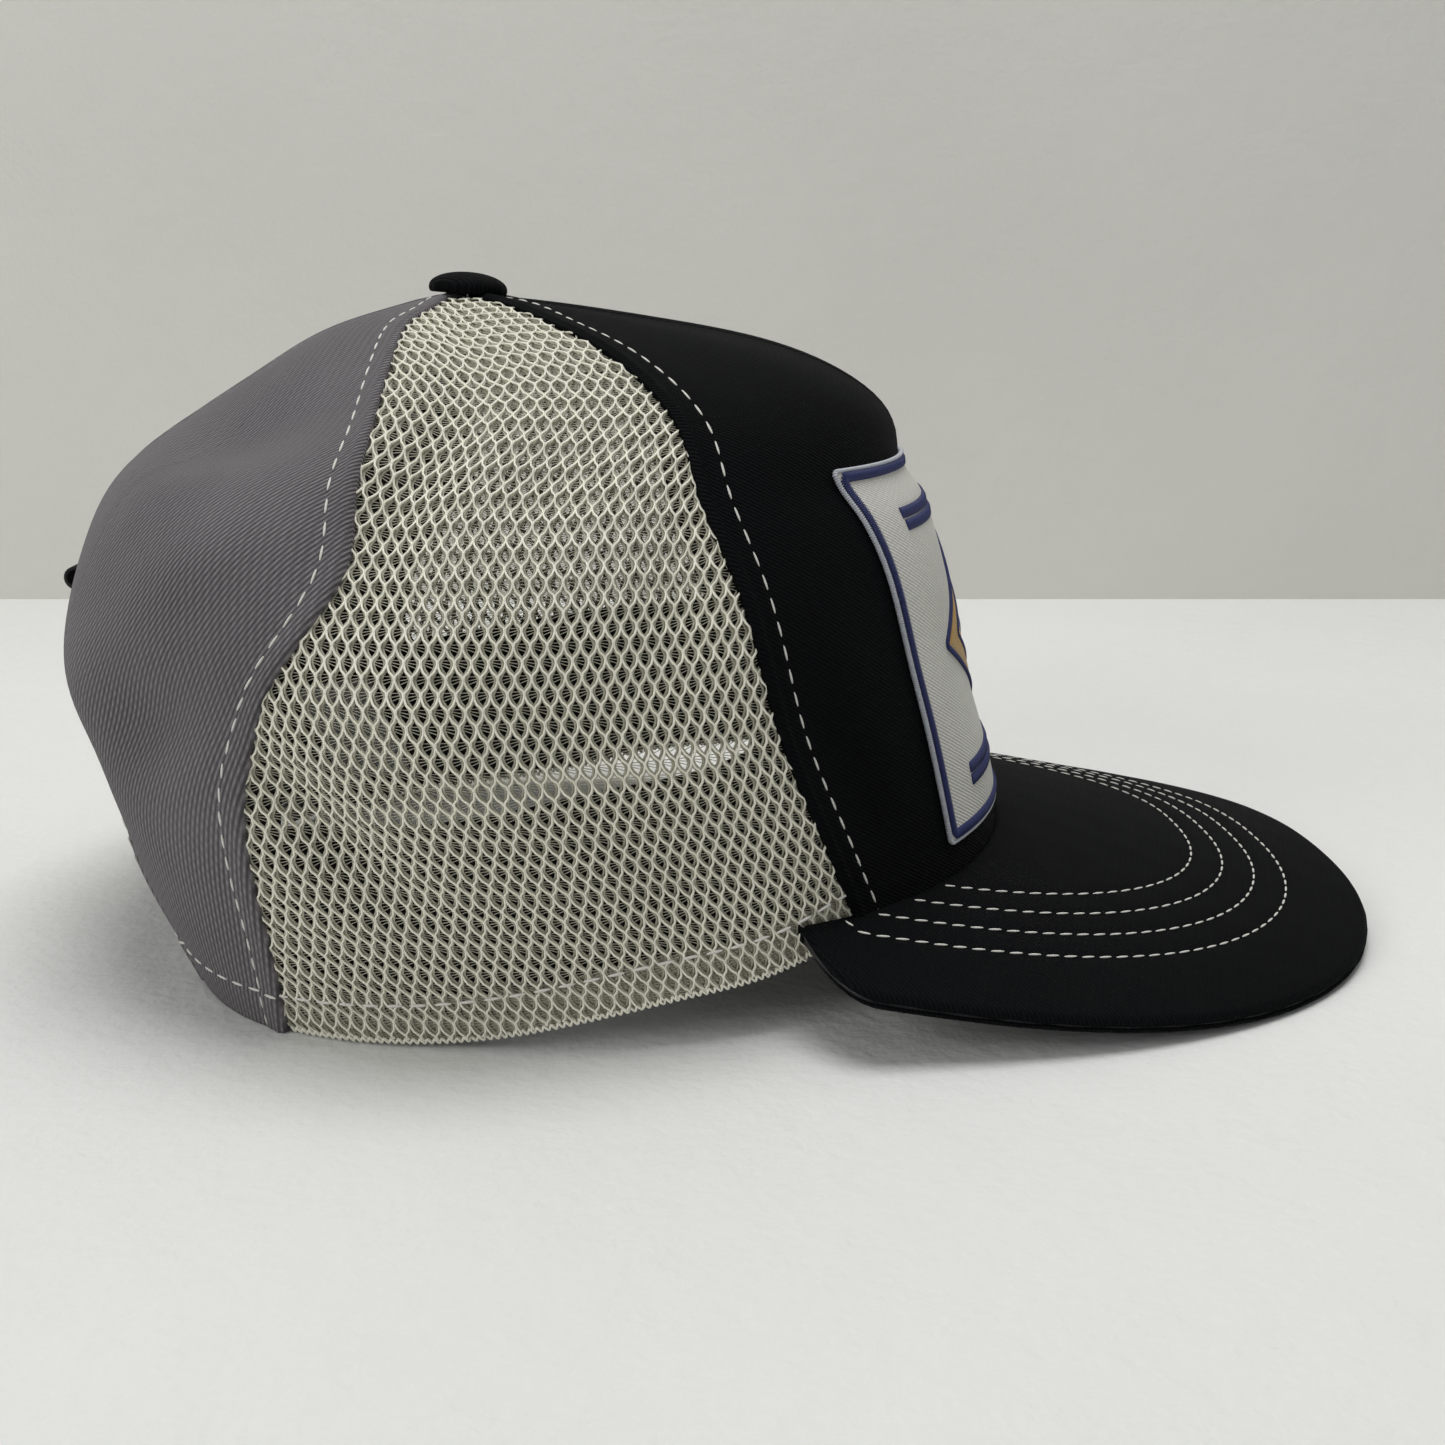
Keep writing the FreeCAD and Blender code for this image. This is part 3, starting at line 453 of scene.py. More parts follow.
def declare_cloth(piece, uv, area, held="stretched", strip=None):
    """Says that a piece is cut cloth, with its flat size. strip is a tape's own width in millimetres: a tape
    is cut straight and bends sideways along its seam, so its reach isn't its width."""
    reach = np.maximum((uv.max(0) - uv.min(0)) * MM, NARROWEST)
    flat = (max(float(reach[0]), area / float(reach[1])), float(reach[1]))
    if strip:
        flat = (max(strip * MM, NARROWEST), area / (strip * MM))
    print(f"{piece.name}: cut {flat[0]:.3f} by {flat[1]:.3f} m, {area * 1e4:.0f} square cm")


def cloth_shell(name, outer, inner, quads, uv, material, slot, node, cloth=True, **cut):
    """A closed shell between two skins, in place of a node. It is declared as cloth unless it is embroidery."""
    made = new_piece(name, np.concatenate([outer, inner]), walled(quads, len(outer)), material,
                     np.concatenate([uv, uv]))
    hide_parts(node)
    if cloth:
        declare_cloth(made, uv, quads_area(outer, quads), **cut)


def crowded(count, share=0.7):
    """Shares from 0 to 1 that lie closer together at both ends."""
    t = np.linspace(0, 1, count)
    return t - share * np.sin(2 * np.pi * t) / (2 * np.pi)


def place_grid(first, last, bottom, top, columns, rows, side=1, share=0.7):
    """(angle, climb) grids between two seams, a lower and an upper line. side is 1 left, -1 right."""
    across, up = np.meshgrid(crowded(columns, share), crowded(rows, share), indexing="ij")
    climb = np.full(across.shape, CROWN_TOP / 2)
    for _ in range(7):
        angle = first(climb) + across * (last(climb) - first(climb))
        climb = bottom(angle) + up * (top(angle) - bottom(angle))
    if side < 0:
        angle, climb = -angle[::-1], climb[::-1]
    return angle, climb


def arc(angle, climb, start):
    """Millimetres round the form from a start angle, at each place's own climb."""
    total, steps = 0.0, 20
    before = form_point(level(start)(angle), climb)
    for step in range(1, steps + 1):
        after = form_point(start + (angle - start) * step / steps, climb)
        total = total + np.linalg.norm(after - before, axis=-1)
        before = after
    return total * np.sign(angle - start)


def crown_piece(name, grids, inset, thickness, material, slot, middle, node, strip=None):
    """A layer of the crown over one or more patches that share edges.

    inset is a number, or a function where the cloth has relief; then thickness is the inner side's inset."""
    angles = np.concatenate([g[0].ravel() for g in grids])
    climbs = np.concatenate([g[1].ravel() for g in grids])
    quads, start = [], 0
    for g in grids:
        quads.append(grid_quads(*g[0].shape, start))
        start += g[0].size
    quads = np.concatenate(quads)
    _, keep, merged = np.unique(np.round(np.stack([angles, climbs], 1), 4), axis=0, return_index=True,
                                return_inverse=True)
    angles, climbs, quads = angles[keep], climbs[keep], merged.ravel()[quads]
    depth = inset(angles, climbs) if callable(inset) else np.full(angles.shape, float(inset))
    inside = np.full(angles.shape, float(thickness)) if callable(inset) else depth + thickness
    outer, inner = cloth_point(angles, climbs, depth), cloth_point(angles, climbs, inside)
    uv = np.stack([arc(angles, climbs, middle), climbs], 1)
    cloth_shell(name, outer, inner, quads, uv, material, slot, node, strip=strip)


def beside(line, distance):
    """A line beside a seam, or beside a fixed angle, some millimetres further round."""
    at = line if callable(line) else level(line)
    return lambda climb: at(climb) + degrees_for(distance, at(climb), climb)


def from_line(angle, climb, line):
    """Millimetres along the cloth from a seam to each place."""
    at = (line if callable(line) else level(line))(climb)
    return (abs(angle) - at) / degrees_for(1.0, at, climb)


print("crown reaches x", np.round(form_point(np.array([0.0, 180.0]), climb_to(58.0))[:, 0], 1))

# %% [markdown]
# ## Twill, thread and the other cloths
#
# Twill is woven so that each thread passes over two or three others and steps along by one, which makes
# fine slanting ribs. In the shader a rib is a sine across the slant, broken into floats by a second sine
# along it. The same pattern drives the colour and the bump, so that the ribs catch light where they are
# pale. An image would need a licence and would blur close up.

# %% Cloth finishes
def weave_height(paint, pitch, slant, float_length):
    """Slanting ribs broken into floats: 0 between threads, 1 on top of them."""
    u, v = paint.cloth_axes()
    sine, cosine = math.sin(math.radians(slant)), math.cos(math.radians(slant))
    across = (u * sine - v * cosine) * (1 / pitch)
    along = (u * cosine + v * sine) * (1 / float_length)
    rib = (across * (2 * math.pi)).sine() * 0.5 + 0.5
    step = ((along + across.floor() * 0.37) * (2 * math.pi)).sine() * 0.5 + 0.5
    return rib * (step * 0.45 + 0.55)


def twill(name, shadow, thread, pitch=0.75, slant=58, float_length=1.5, depth=0.00022, **plain):
    """A twill: its colour between the threads and on them, and its ribs' spacing in millimetres."""
    paint = Paint(name)
    height = weave_height(paint, pitch, slant, float_length)
    where = paint.position()
    fuzz = paint.noise(where, 1800.0, 2.0)
    wear = paint.noise(where, 34.0, 3.0)
    colour = paint.mix(height * 0.75 + fuzz * 0.25, shadow, thread)
    colour = paint.mix((wear * 0.9 - 0.25) * 0.35, colour, [c * 1.35 for c in thread])
    return paint.finish(colour, height=height + fuzz * 0.5, depth=depth, strength=0.8, **plain)


def plain_cloth(name, shadow, thread, pitch=0.5, depth=0.00015, **plain):
    """A plain weave: threads over and under, square to each other."""
    paint = Paint(name)
    u, v = paint.cloth_axes()
    warp = (u * (2 * math.pi / pitch)).sine().size()
    weft = (v * (2 * math.pi / pitch)).sine().size()
    height = warp * weft
    fuzz = paint.noise(paint.position(), 900.0, 2.0)
    colour = paint.mix(height * 0.7 + fuzz * 0.3, shadow, thread)
    return paint.finish(colour, height=height + fuzz * 0.3, depth=depth, strength=0.7, **plain)


def thread_paint(name, shadow, light, grain=5200.0, **plain):
    """Spun thread: fine fibres and a soft shine."""
    paint = Paint(name)
    fibre = paint.noise(paint.position(), grain, 2.0)
    return paint.finish(paint.mix(fibre, shadow, light), height=fibre, depth=0.00008, strength=0.6, **plain)


black_twill = twill("black_twill", (0.0008, 0.0010, 0.0012), (0.0060, 0.0066, 0.0077), slant=146,
                    depth=0.0003, roughness=0.75, specular_ior_level=0.05)
grey_twill = twill("grey_twill", (0.018, 0.017, 0.018), (0.262, 0.246, 0.258), pitch=0.95, slant=63,
                   float_length=2.4, depth=0.0003, roughness=0.9, sheen_weight=0.1, specular_ior_level=0.2)
buckram = plain_cloth("buckram", (0.42, 0.41, 0.38), (0.62, 0.61, 0.57), pitch=1.1, roughness=0.85)
tape_cloth = plain_cloth("seam_tape", (0.004, 0.004, 0.005), (0.022, 0.022, 0.025), pitch=0.6, roughness=0.8)
band_cloth = plain_cloth("sweatband_cloth", (0.004, 0.004, 0.005), (0.018, 0.018, 0.021), pitch=0.9,
                         depth=0.0003, roughness=0.92)
label_cloth = plain_cloth("label_cloth", (0.60, 0.60, 0.58), (0.80, 0.80, 0.78), pitch=0.35, roughness=0.5)
knit_thread = thread_paint("knit_yarn", (0.80, 0.775, 0.63), (0.96, 0.94, 0.82), roughness=0.32)
# The web, the cross threads and the hem fold are the same cream yarn as the face yarn; their colour is painted
# darker, as the shade they lie in behind it.
shaded_web_thread = thread_paint("knit_web_shaded", (0.24, 0.232, 0.168), (0.59, 0.57, 0.455), 2600.0, roughness=0.6)
white_thread = thread_paint("white_thread", (0.62, 0.60, 0.54), (0.84, 0.83, 0.78), roughness=0.55)
black_thread = thread_paint("black_thread", (0.006, 0.006, 0.007), (0.025, 0.025, 0.028), roughness=0.5)

# %% [markdown]
# ## Front and rear panels
#
# Each panel is cut flat and takes its curve from its seams. Beside the mesh its edge is folded under and
# felled: a small roll at the very edge, a flat double allowance, and a row of topstitching that pulls a
# groove. `felled` gives those as heights over the distance from a seam. The rear panels stop at the
# opening's arch, so they are three patches that share edges.

# %% Relief beside seams
def bell(distance, middle, spread):
    return np.exp(-((distance - middle) / spread) ** 2)


def ramp_down(distance, start, end):
    """1 before start, 0 after end."""
    t = np.clip((distance - start) / (end - start), 0, 1)
    return 1 - t * t * (3 - 2 * t)


def felled(distance, along, stitch_at, roll=0.7, pitch=4.3):
    """Height of a felled edge over the panel, in millimetres, at a distance in from the seam."""
    groove = bell(distance, stitch_at, 0.55) * (0.30 + 0.12 * np.cos(2 * np.pi * along / pitch))
    return roll * bell(distance, 0.8, 0.95) + 0.38 * ramp_down(distance, stitch_at - 0.2, stitch_at + 0.9) - groove


FRONT_STITCH, REAR_STITCH, HEM_STITCH = 5.2, 4.0, 8.0
OVERHANG = 0.6            # millimetres that a panel's edge lies over the knit
to_hole = level(climb_to_radius(1.6))


def front_inset(angle, climb):
    edge = -from_line(angle, climb, front_seam)
    centre = from_line(angle, climb, 0.0)
    low = climb - hem(angle)
    relief = felled(edge, climb, FRONT_STITCH) - 0.45 * bell(centre, 0, 0.7) + 0.3 * ramp_down(centre, 3.5, 4.5)
    return -relief - 0.25 * ramp_down(low, 6, 8)


def rear_inset(angle, climb):
    edge = from_line(angle, climb, rear_seam)
    centre = -from_line(angle, climb, 180.0)
    low = climb - hem(angle)
    arch = from_arch(angle, climb)
    relief = felled(edge, climb, REAR_STITCH, roll=0.45)
    relief = relief - 0.4 * bell(centre, 0, 0.7) + 0.3 * ramp_down(centre, 4, 5)
    relief = relief + 0.35 * ramp_down(low, HEM_STITCH - 0.3, HEM_STITCH + 0.7) - 0.3 * bell(low, HEM_STITCH, 0.5)
    return -relief - 0.35 * ramp_down(arch, 4.5, 5.5) + 0.3 * bell(arch, 5, 0.5)


def from_arch(angle, climb):
    """Millimetres outside the rear opening's edge."""
    points = form_point(angle, climb)
    y, z = abs(points[..., 1]), points[..., 2]
    over = np.hypot(y / ARCH_HALF, np.maximum(z - ARCH_SPRING, 0) / (ARCH_TOP - ARCH_SPRING))
    return np.where(points[..., 0] > AXIS_X, 99.0, (over - 1) * 40)


# %% Front panels
for side, word in ((1, "left"), (-1, "right")):
    grid = place_grid(beside(0.0, 0.1), beside(front_seam, OVERHANG), hem, to_hole, 84, 104, side)
    crown_piece(f"front_{word}", [grid], front_inset, 1.0, black_twill, "black_twill", 25 * side,
                f"front_panel_{word}")


# %% Rear panels
foot_climbs = np.linspace(0, climb_to(ARCH_SPRING), 24)
foot_angles = degrees_to(ARCH_HALF, foot_climbs, 120, 179.5, 400)
spring_line = level(foot_climbs[-1])


def arch_side(climb):
    """Degrees round to the rear opening's side below its arch, carried on smoothly above it."""
    low = np.interp(climb, foot_climbs, foot_angles)
    share = np.clip((climb - foot_climbs[-1]) / (CROWN_TOP - foot_climbs[-1]), 0, 1)
    return low + (151.0 - foot_angles[-1]) * share * share * (3 - 2 * share)


def arch_line(angle):
    """Climb to the opening's arch over each angle."""
    climbs = np.linspace(foot_climbs[-1], climb_to(ARCH_TOP), 60)
    flat = np.ravel(np.asarray(angle, float))
    y = form_point(flat[:, None], climbs[None, :])[..., 1]
    z = crown_curves[0](climbs)[None, :]
    over = np.hypot(y / ARCH_HALF, (z - ARCH_SPRING) / (ARCH_TOP - ARCH_SPRING)) - 1
    found = [np.interp(0, row, climbs) if row[0] < 0 else climbs[0] for row in over]
    return np.reshape(found, np.shape(angle))


def rear_grids(side):
    first, middle, last = beside(rear_seam, -OVERHANG), arch_side, beside(180.0, -0.1)
    low = place_grid(first, middle, hem, spring_line, 40, 22, side, 0.3)
    high = place_grid(first, middle, spring_line, to_hole, 40, 92, side, 0.3)
    back = place_grid(middle, last, arch_line, to_hole, 44, 92, side, 0.5)
    return [low, high, back]


for side, word in ((1, "left"), (-1, "right")):
    crown_piece(f"rear_{word}", rear_grids(side), rear_inset, 1.0, grey_twill, "grey_twill", 150 * side,
                f"rear_panel_{word}")

# %% [markdown]
# ## Layers inside the crown
#
# Turned inside out, a cap shows buckram fused behind the front, tapes over the seams, a folded sweatband
# round the head and a binding round the rear opening. They are strips of cloth on the same form, each a
# little further in, and they follow the same dents as the outside, so that nothing pokes through. A copy of
# the outside pushed inwards by a modifier would not know where one strip ends.

# %% Buckram and tapes
TAPE, LIFT, BAND_HEIGHT = 6.0, 2.0, 38.0
to_inner_top = level(climb_to_radius(12.0))


def above_hem(angle):
    return hem(angle, LIFT)


for side, word in ((1, "left"), (-1, "right")):
    grid = place_grid(beside(0.0, 0.1), beside(front_seam, -8.0), above_hem, to_inner_top, 44, 60, side, 0.2)
    crown_piece(f"buckram_{word}", [grid], 1.3, 0.8, buckram, "buckram", 25 * side, f"front_stiffener_{word}")
    for line, name, middle in ((front_seam, "front", 56), (rear_seam, "rear", 122)):
        grid = place_grid(beside(line, -TAPE), beside(line, TAPE), above_hem, to_inner_top, 8, 90, side, 0.2)
        crown_piece(f"tape_{name}_{word}", [grid], 1.3, 0.5, tape_cloth, "seam_tape", middle * side,
                    f"seam_tape_{name}_{word}", strip=TAPE * 2)
arch_clear = climb_to(ARCH_TOP) + 7.0
for name, middle, low, inset in (("back", 180.0, arch_clear, 1.3), ("brow", 0.0, climb_to(21.17), 2.4)):
    grid = place_grid(beside(middle, -TAPE), beside(middle, TAPE), level(low), to_inner_top, 8, 70, 1, 0.2)
    crown_piece(f"tape_{name}", [grid], inset, 0.5, tape_cloth, "seam_tape", middle, f"seam_tape_{name}",
                strip=TAPE * 2)


# %% Sweatband, binding and label
def opening_side(distance):
    """Degrees round to the rear opening's side, moved on by a distance."""
    climbs = np.linspace(0, climb_to(64.0), 40)
    edge = degrees_to(ARCH_HALF + distance, climbs, 105, 179.5, 500)
    return lambda climb: np.interp(climb, climbs, edge)


def band_inset(angle, climb):
    """Flat, with a rolled top and a lower seam."""
    from_low, from_top = climb - above_hem(angle), above_hem(angle) + BAND_HEIGHT - climb
    return 3.55 + 0.35 * bell(from_low, 0, 1.2) - 0.25 * bell(from_top, 1.0, 1.0) + 0.25 * bell(from_top, 3.0, 0.5)


band_end = opening_side(9.0)
grid = place_grid(lambda c: -band_end(c), band_end, above_hem, lambda a: above_hem(a) + BAND_HEIGHT, 220, 26, 1, 0.0)
crown_piece("sweatband_cloth", [grid], band_inset, 4.5, band_cloth, "sweatband_cloth", 0.0, "sweatband")


BINDING = (5.0, 0.3)      # millimetres from the opening's edge to the tape's outer and inner edges


def binding_strip():
    """Round the rear opening, from one foot over the arch to the other."""
    across, travel = np.meshgrid(np.linspace(*BINDING, 7), np.linspace(0, 1, 110), indexing="ij")
    half, crest = ARCH_HALF + across, ARCH_TOP + across
    foot = CROWN_HEIGHT * 0.075
    straight, curved = ARCH_SPRING - foot, math.pi * (ARCH_HALF + ARCH_TOP - ARCH_SPRING) / 2
    way = travel * (2 * straight + curved)
    turn = np.clip(np.pi * (way - straight) / curved, 0, np.pi)
    y = half * np.cos(turn)
    z = ARCH_SPRING + (crest - ARCH_SPRING) * np.sin(turn)
    z = np.where(way < straight, foot + way, np.where(way > straight + curved, foot + 2 * straight + curved - way, z))
    climb = climb_to(z)
    angle = degrees_to(abs(y), climb)
    return np.where(y > 0, angle, 360 - angle), climb


crown_piece("binding_tape", [binding_strip()], 1.3, 0.6, tape_cloth, "seam_tape", 180.0, "opening_binding",
            strip=BINDING[0] - BINDING[1])
label_climb = hem(np.array(135.0), 6.0)
grid = place_grid(beside(135.0, -11.0), beside(135.0, 11.0), level(label_climb), level(label_climb + 26.0), 12, 12)
crown_piece("label_ribbon", [grid], 4.7, 0.4, label_cloth, "label_cloth", 135.0, "care_label")

# %% [markdown]
# ## The mesh
#
# Cap mesh is a warp knit. Each column of loops, a wale, leans to one neighbour and then to the other, so that
# holes open between them in a staggered pattern. A bright filling yarn snakes along the face of every wale,
# a soft web of two strands lies behind it, and three fine threads cross each hole. All of them are real
# threads here, so that light and sight pass through. The wales are lines in a flat plane first, in
# millimetres of cloth. Then they are laid on the crown, cut at the seams and thickened by Geometry Nodes.
#
# The web is the piece declared as the sheet. Its measured area is that of its strands, so it says little
# about the panel's own cut size.

# %% A tree that gives a line its thickness
def socket_ids(tree):
    return {s.name: s.identifier for s in tree.interface.items_tree if s.in_out == "INPUT"}


def line_tree(name, sizes):
    """A Geometry Nodes tree with named sizes, whose lines know which way is out of the cloth."""
    tree = bpy.data.node_groups.new(name, "GeometryNodeTree")
    tree.interface.new_socket("Lines", in_out="INPUT", socket_type="NodeSocketGeometry")
    for size_name in sizes:
        tree.interface.new_socket(size_name, in_out="INPUT", socket_type="NodeSocketFloat")
    tree.interface.new_socket("Material", in_out="INPUT", socket_type="NodeSocketMaterial")
    tree.interface.new_socket("Threads", in_out="OUTPUT", socket_type="NodeSocketGeometry")

    def add(kind, settings=(), **links):
        node = tree.nodes.new(kind)
        for key, value in settings:
            setattr(node, key, value)
        for key, value in links.items():
            socket = node.inputs[key.replace("_", " ")]
            if hasattr(value, "is_output"):
                tree.links.new(value, socket)
            else:
                socket.default_value = value
        return node

    given = add("NodeGroupInput").outputs
    curves = add("GeometryNodeMeshToCurve", Mesh=given["Lines"])
    outwards = add("GeometryNodeInputNamedAttribute", [("data_type", "FLOAT_VECTOR")], Name="outwards")
    turned = add("GeometryNodeSetCurveNormal", [("mode", "FREE")], Curve=curves.outputs[0],
                 Normal=outwards.outputs[0])

    def end(geometry):
        single = add("GeometryNodeRealizeInstances", Geometry=geometry)
        painted = add("GeometryNodeSetMaterial", Geometry=single.outputs[0], Material=given["Material"])
        add("NodeGroupOutput", Threads=painted.outputs[0])

    return tree, given, add, turned.outputs[0], end


thread_tree, given, add, curve, end = line_tree("thicken_lines", ["Across", "Height"])
section = add("GeometryNodeCurvePrimitiveQuadrilateral", Width=given["Height"], Height=given["Across"])
tube = add("GeometryNodeCurveToMesh", Curve=curve, Profile_Curve=section.outputs[0], Fill_Caps=True)
end(tube.outputs[0])


def joined_up(runs):
    """Edges from each point to the next within every run."""
    edges, start = [], 0
    for run in runs:
        index = np.arange(start, start + len(run) - 1)
        edges.append(np.stack([index, index + 1], 1))
        start += len(run)
    return np.concatenate(edges)


def grown(name, points, outwards, edges, tree, sizes, material, slot):
    """Lines in millimetres, grown into threads by a tree and made a plain mesh."""
    mesh = bpy.data.meshes.new(name + "_lines")
    mesh.from_pydata((np.asarray(points) * MM).tolist(), np.asarray(edges).tolist(), [])
    mesh.attributes.new("outwards", "FLOAT_VECTOR", "POINT").data.foreach_set("vector", np.ravel(outwards))
    lines = put(name + "_lines", mesh)
    modifier = lines.modifiers.new("threads", "NODES")
    modifier.node_group = tree
    ids = socket_ids(tree)
    for key, value in sizes.items():
        modifier[ids[key]] = value * MM
    modifier[ids["Material"]] = material
    graph = bpy.context.evaluated_depsgraph_get()
    graph.update()
    result = bpy.data.meshes.new_from_object(lines.evaluated_get(graph))
    bpy.data.objects.remove(lines)
    result.name = name
    result.polygons.foreach_set("use_smooth", [True] * len(result.polygons))
    made = put(name, result)
    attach(made, "cap")
    print(f"{name}: {sum(len(p.vertices) - 2 for p in result.polygons)} triangles")
    return made


# %% A flat plane of cloth laid on the side of the crown
MESH_MIDDLE = 86.0                   # degrees round to the middle of the side panel
PLANE_HALF, PLANE_ROWS = 90, 150     # the flat plane has a column for every millimetre
plane_p = np.linspace(-PLANE_HALF, PLANE_HALF, 2 * PLANE_HALF + 1)
plane_q = np.linspace(0, CROWN_TOP, PLANE_ROWS)
turns = np.linspace(-60, 230, 581)
lay_rows = []
for q in plane_q:
    ring = form_point(turns, np.full(turns.shape, q))
    length = travelled(ring)
    lay_rows.append(np.interp(plane_p, length - np.interp(MESH_MIDDLE, turns, length), turns))
lay_rows = np.array(lay_rows)


def laid(p, q):
    """Degrees round for a place in the flat cloth: p across from its middle, q up."""
    across, up = np.clip(p, -PLANE_HALF, PLANE_HALF) + PLANE_HALF, np.clip(q, 0, CROWN_TOP - 1e-6) / plane_q[1]
    i, j = np.clip(across.astype(int), 0, 2 * PLANE_HALF - 1), np.clip(up.astype(int), 0, PLANE_ROWS - 2)
    a, b = across - i, up - j
    low = lay_rows[j, i] * (1 - a) + lay_rows[j, i + 1] * a
    high = lay_rows[j + 1, i] * (1 - a) + lay_rows[j + 1, i + 1] * a
    return low * (1 - b) + high * b


def kept(p, q, top_line=None, under=1.4):
    """Which places lie on the mesh panel, with a margin under its neighbours' edges."""
    angle = laid(p, q)
    first = front_seam(q) - degrees_for(under, front_seam(q), q)
    last = rear_seam(q) + degrees_for(under, rear_seam(q), q)
    inside = (angle > first) & (angle < last) & (q > hem(angle) + 0.3) & (q < climb_to_radius(3.2))
    return inside if top_line is None else inside & (q < hem(angle) + top_line)


CELL, ROW = 2.75, 2.6                # millimetres: a hole's pitch across, and half its pitch up
YARN_STEPS, WEB_STEPS = 4, 3         # points in a row; the web has two strands, so each gets fewer
STRAND_AWAY = 0.33
HEM_FOLD = 9.0                       # how far up the doubled hem reaches
WALES = 64                           # on either side of the middle


def wale_lines(per_row=YARN_STEPS, shift=0.0, top_line=None, beside_it=0.0, swing=1.0):
    """The staggered wales, as runs of (p, q) places inside the panel. Holes come to a point at their tops."""
    runs = []
    q = np.arange(0, CROWN_TOP, ROW / per_row)
    turn = np.pi * (q + shift) / ROW
    for k in range(-WALES, WALES + 1):
        p = k * CELL / 2 + beside_it + (-1) ** k * swing * CELL / 4 * np.cos(turn - 0.3 * np.cos(2 * turn))
        good = np.flatnonzero(kept(p, q, top_line))
        if len(good) < 3:
            continue
        for run in np.split(good, np.flatnonzero(np.diff(good) > 1) + 1):
            if len(run) > 2:
                runs.append(np.stack([p[run], q[run]], 1))
    return runs


def rung_lines():
    """Three fine threads across each hole, fanning to one side."""
    runs = []
    for k in range(-WALES, WALES):
        first = 1 if k % 2 == 0 else 0
        for n in range(first, int(CROWN_TOP / ROW), 2):
            middle, q0 = (k + 0.5) * CELL / 2, n * ROW
            lean = 1 if (n // 2 + k) % 2 else -1
            for step in range(3):
                start = q0 + 0.55 - 0.30 * step
                ends = np.array([[middle - lean * 1.05, start], [middle + lean * 1.05, start - 0.42 * step]])
                if kept(ends[:, 0], ends[:, 1]).all():
                    runs.append(ends)
    return runs


def lay_lines(runs, inset, side, ripple=0.0):
    """Runs of places as points on the cap, with their outward directions and edges."""
    flat = np.concatenate(runs)
    angle, climb = laid(flat[:, 0], flat[:, 1]), flat[:, 1]
    depth = inset - ripple * np.sin(np.pi * climb / ROW + 0.6)
    return cloth_point(angle * side, climb, depth), form_normal(angle * side, climb), joined_up(runs)


def hem_loops():
    """The fold at the hem: a row of small loops."""
    turns_round = np.linspace(float(front_seam(4.0)), float(rear_seam(2.0)), 900)
    climb = hem(turns_round)
    p = travelled(form_point(turns_round, climb))
    p = p - np.interp(MESH_MIDDLE, turns_round, p)
    return [np.stack([p, climb + 0.45 + 0.40 * np.cos(2 * np.pi * p / (CELL / 2))], 1)]


def both_layers(one, other):
    """Two sets of laid lines as one: the web is one cloth, so it is one piece."""
    points, outward, links = [np.concatenate([a, b]) for a, b in zip(one, other)]
    links[len(one[2]):] += len(one[0])
    return points, outward, links


# %% Yarn, web and cross threads
wales, rungs = wale_lines(), rung_lines()
strands = [wale_lines(WEB_STEPS, beside_it=away, swing=0.92) for away in (-STRAND_AWAY, STRAND_AWAY)]
hem_wales = wale_lines(shift=ROW, top_line=HEM_FOLD)
mesh_area = sum(len(run) - 1 for run in wales) * ROW / YARN_STEPS * CELL / 2 * MM * MM
for side, word in ((1, "left"), (-1, "right")):
    yarn = grown(f"mesh_yarn_{word}", *lay_lines(wales, 0.26, side, 0.30), thread_tree,
                 {"Across": 0.34, "Height": 0.32}, knit_thread, "cream_mesh")
    near, far = (lay_lines(strand, depth, side) for strand, depth in zip(strands, (0.60, 0.68)))
    web = grown(f"mesh_web_{word}", *both_layers(near, far), thread_tree,
                {"Across": 0.44, "Height": 0.20}, shaded_web_thread, "cream_mesh")
    cross = grown(f"mesh_cross_{word}", *lay_lines(rungs, 0.64, side), thread_tree,
                  {"Across": 0.13, "Height": 0.13}, shaded_web_thread, "cream_mesh")
    fold = grown(f"mesh_hem_{word}", *lay_lines(hem_wales, 1.0, side), thread_tree,
                 {"Across": 0.85, "Height": 0.16}, shaded_web_thread, "cream_mesh")
    loops = grown(f"mesh_loops_{word}", *lay_lines(hem_loops(), 0.55, side), thread_tree,
                  {"Across": 0.42, "Height": 0.75}, knit_thread, "cream_mesh")
    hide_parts(f"mesh_panel_{word}")
print(f"mesh panels: {mesh_area * 1e4:.0f} square cm each, {len(rungs) // 3} holes")

# %% [markdown]
# ## Stitches
#
# A topstitch is a row of short lengths of thread that rise out of the cloth and dive back in. One small
# rounded body is instanced along each row, lying along it and facing out of the cloth. The same tree, with
# bodies that lie across the row and touch, makes satin embroidery and an overlocked edge.

# %% A tree that sews along a line
stitch_tree, given, add, curve, end = line_tree("sew_lines", ["Pitch", "Along", "Across", "Height"])
steps = add("GeometryNodeCurveToPoints", [("mode", "LENGTH")], Curve=curve, Length=given["Pitch"])
body = add("GeometryNodeMeshUVSphere", Segments=6, Rings=5, Radius=0.5)
sizes = add("ShaderNodeCombineXYZ", X=given["Height"], Y=given["Across"], Z=given["Along"])
sewn = add("GeometryNodeInstanceOnPoints", Points=steps.outputs["Points"], Instance=body.outputs["Mesh"],
           Rotation=steps.outputs["Rotation"], Scale=sizes.outputs[0])
end(sewn.outputs[0])


def crown_row(angle, climb, inset):
    """A row on the crown: its points and outward directions."""
    angle, climb = np.broadcast_arrays(np.asarray(angle, float), np.asarray(climb, float))
    depth = inset(abs(angle), climb) if callable(inset) else np.full(angle.shape, float(inset))
    return cloth_point(angle, climb, depth), form_normal(angle, climb)


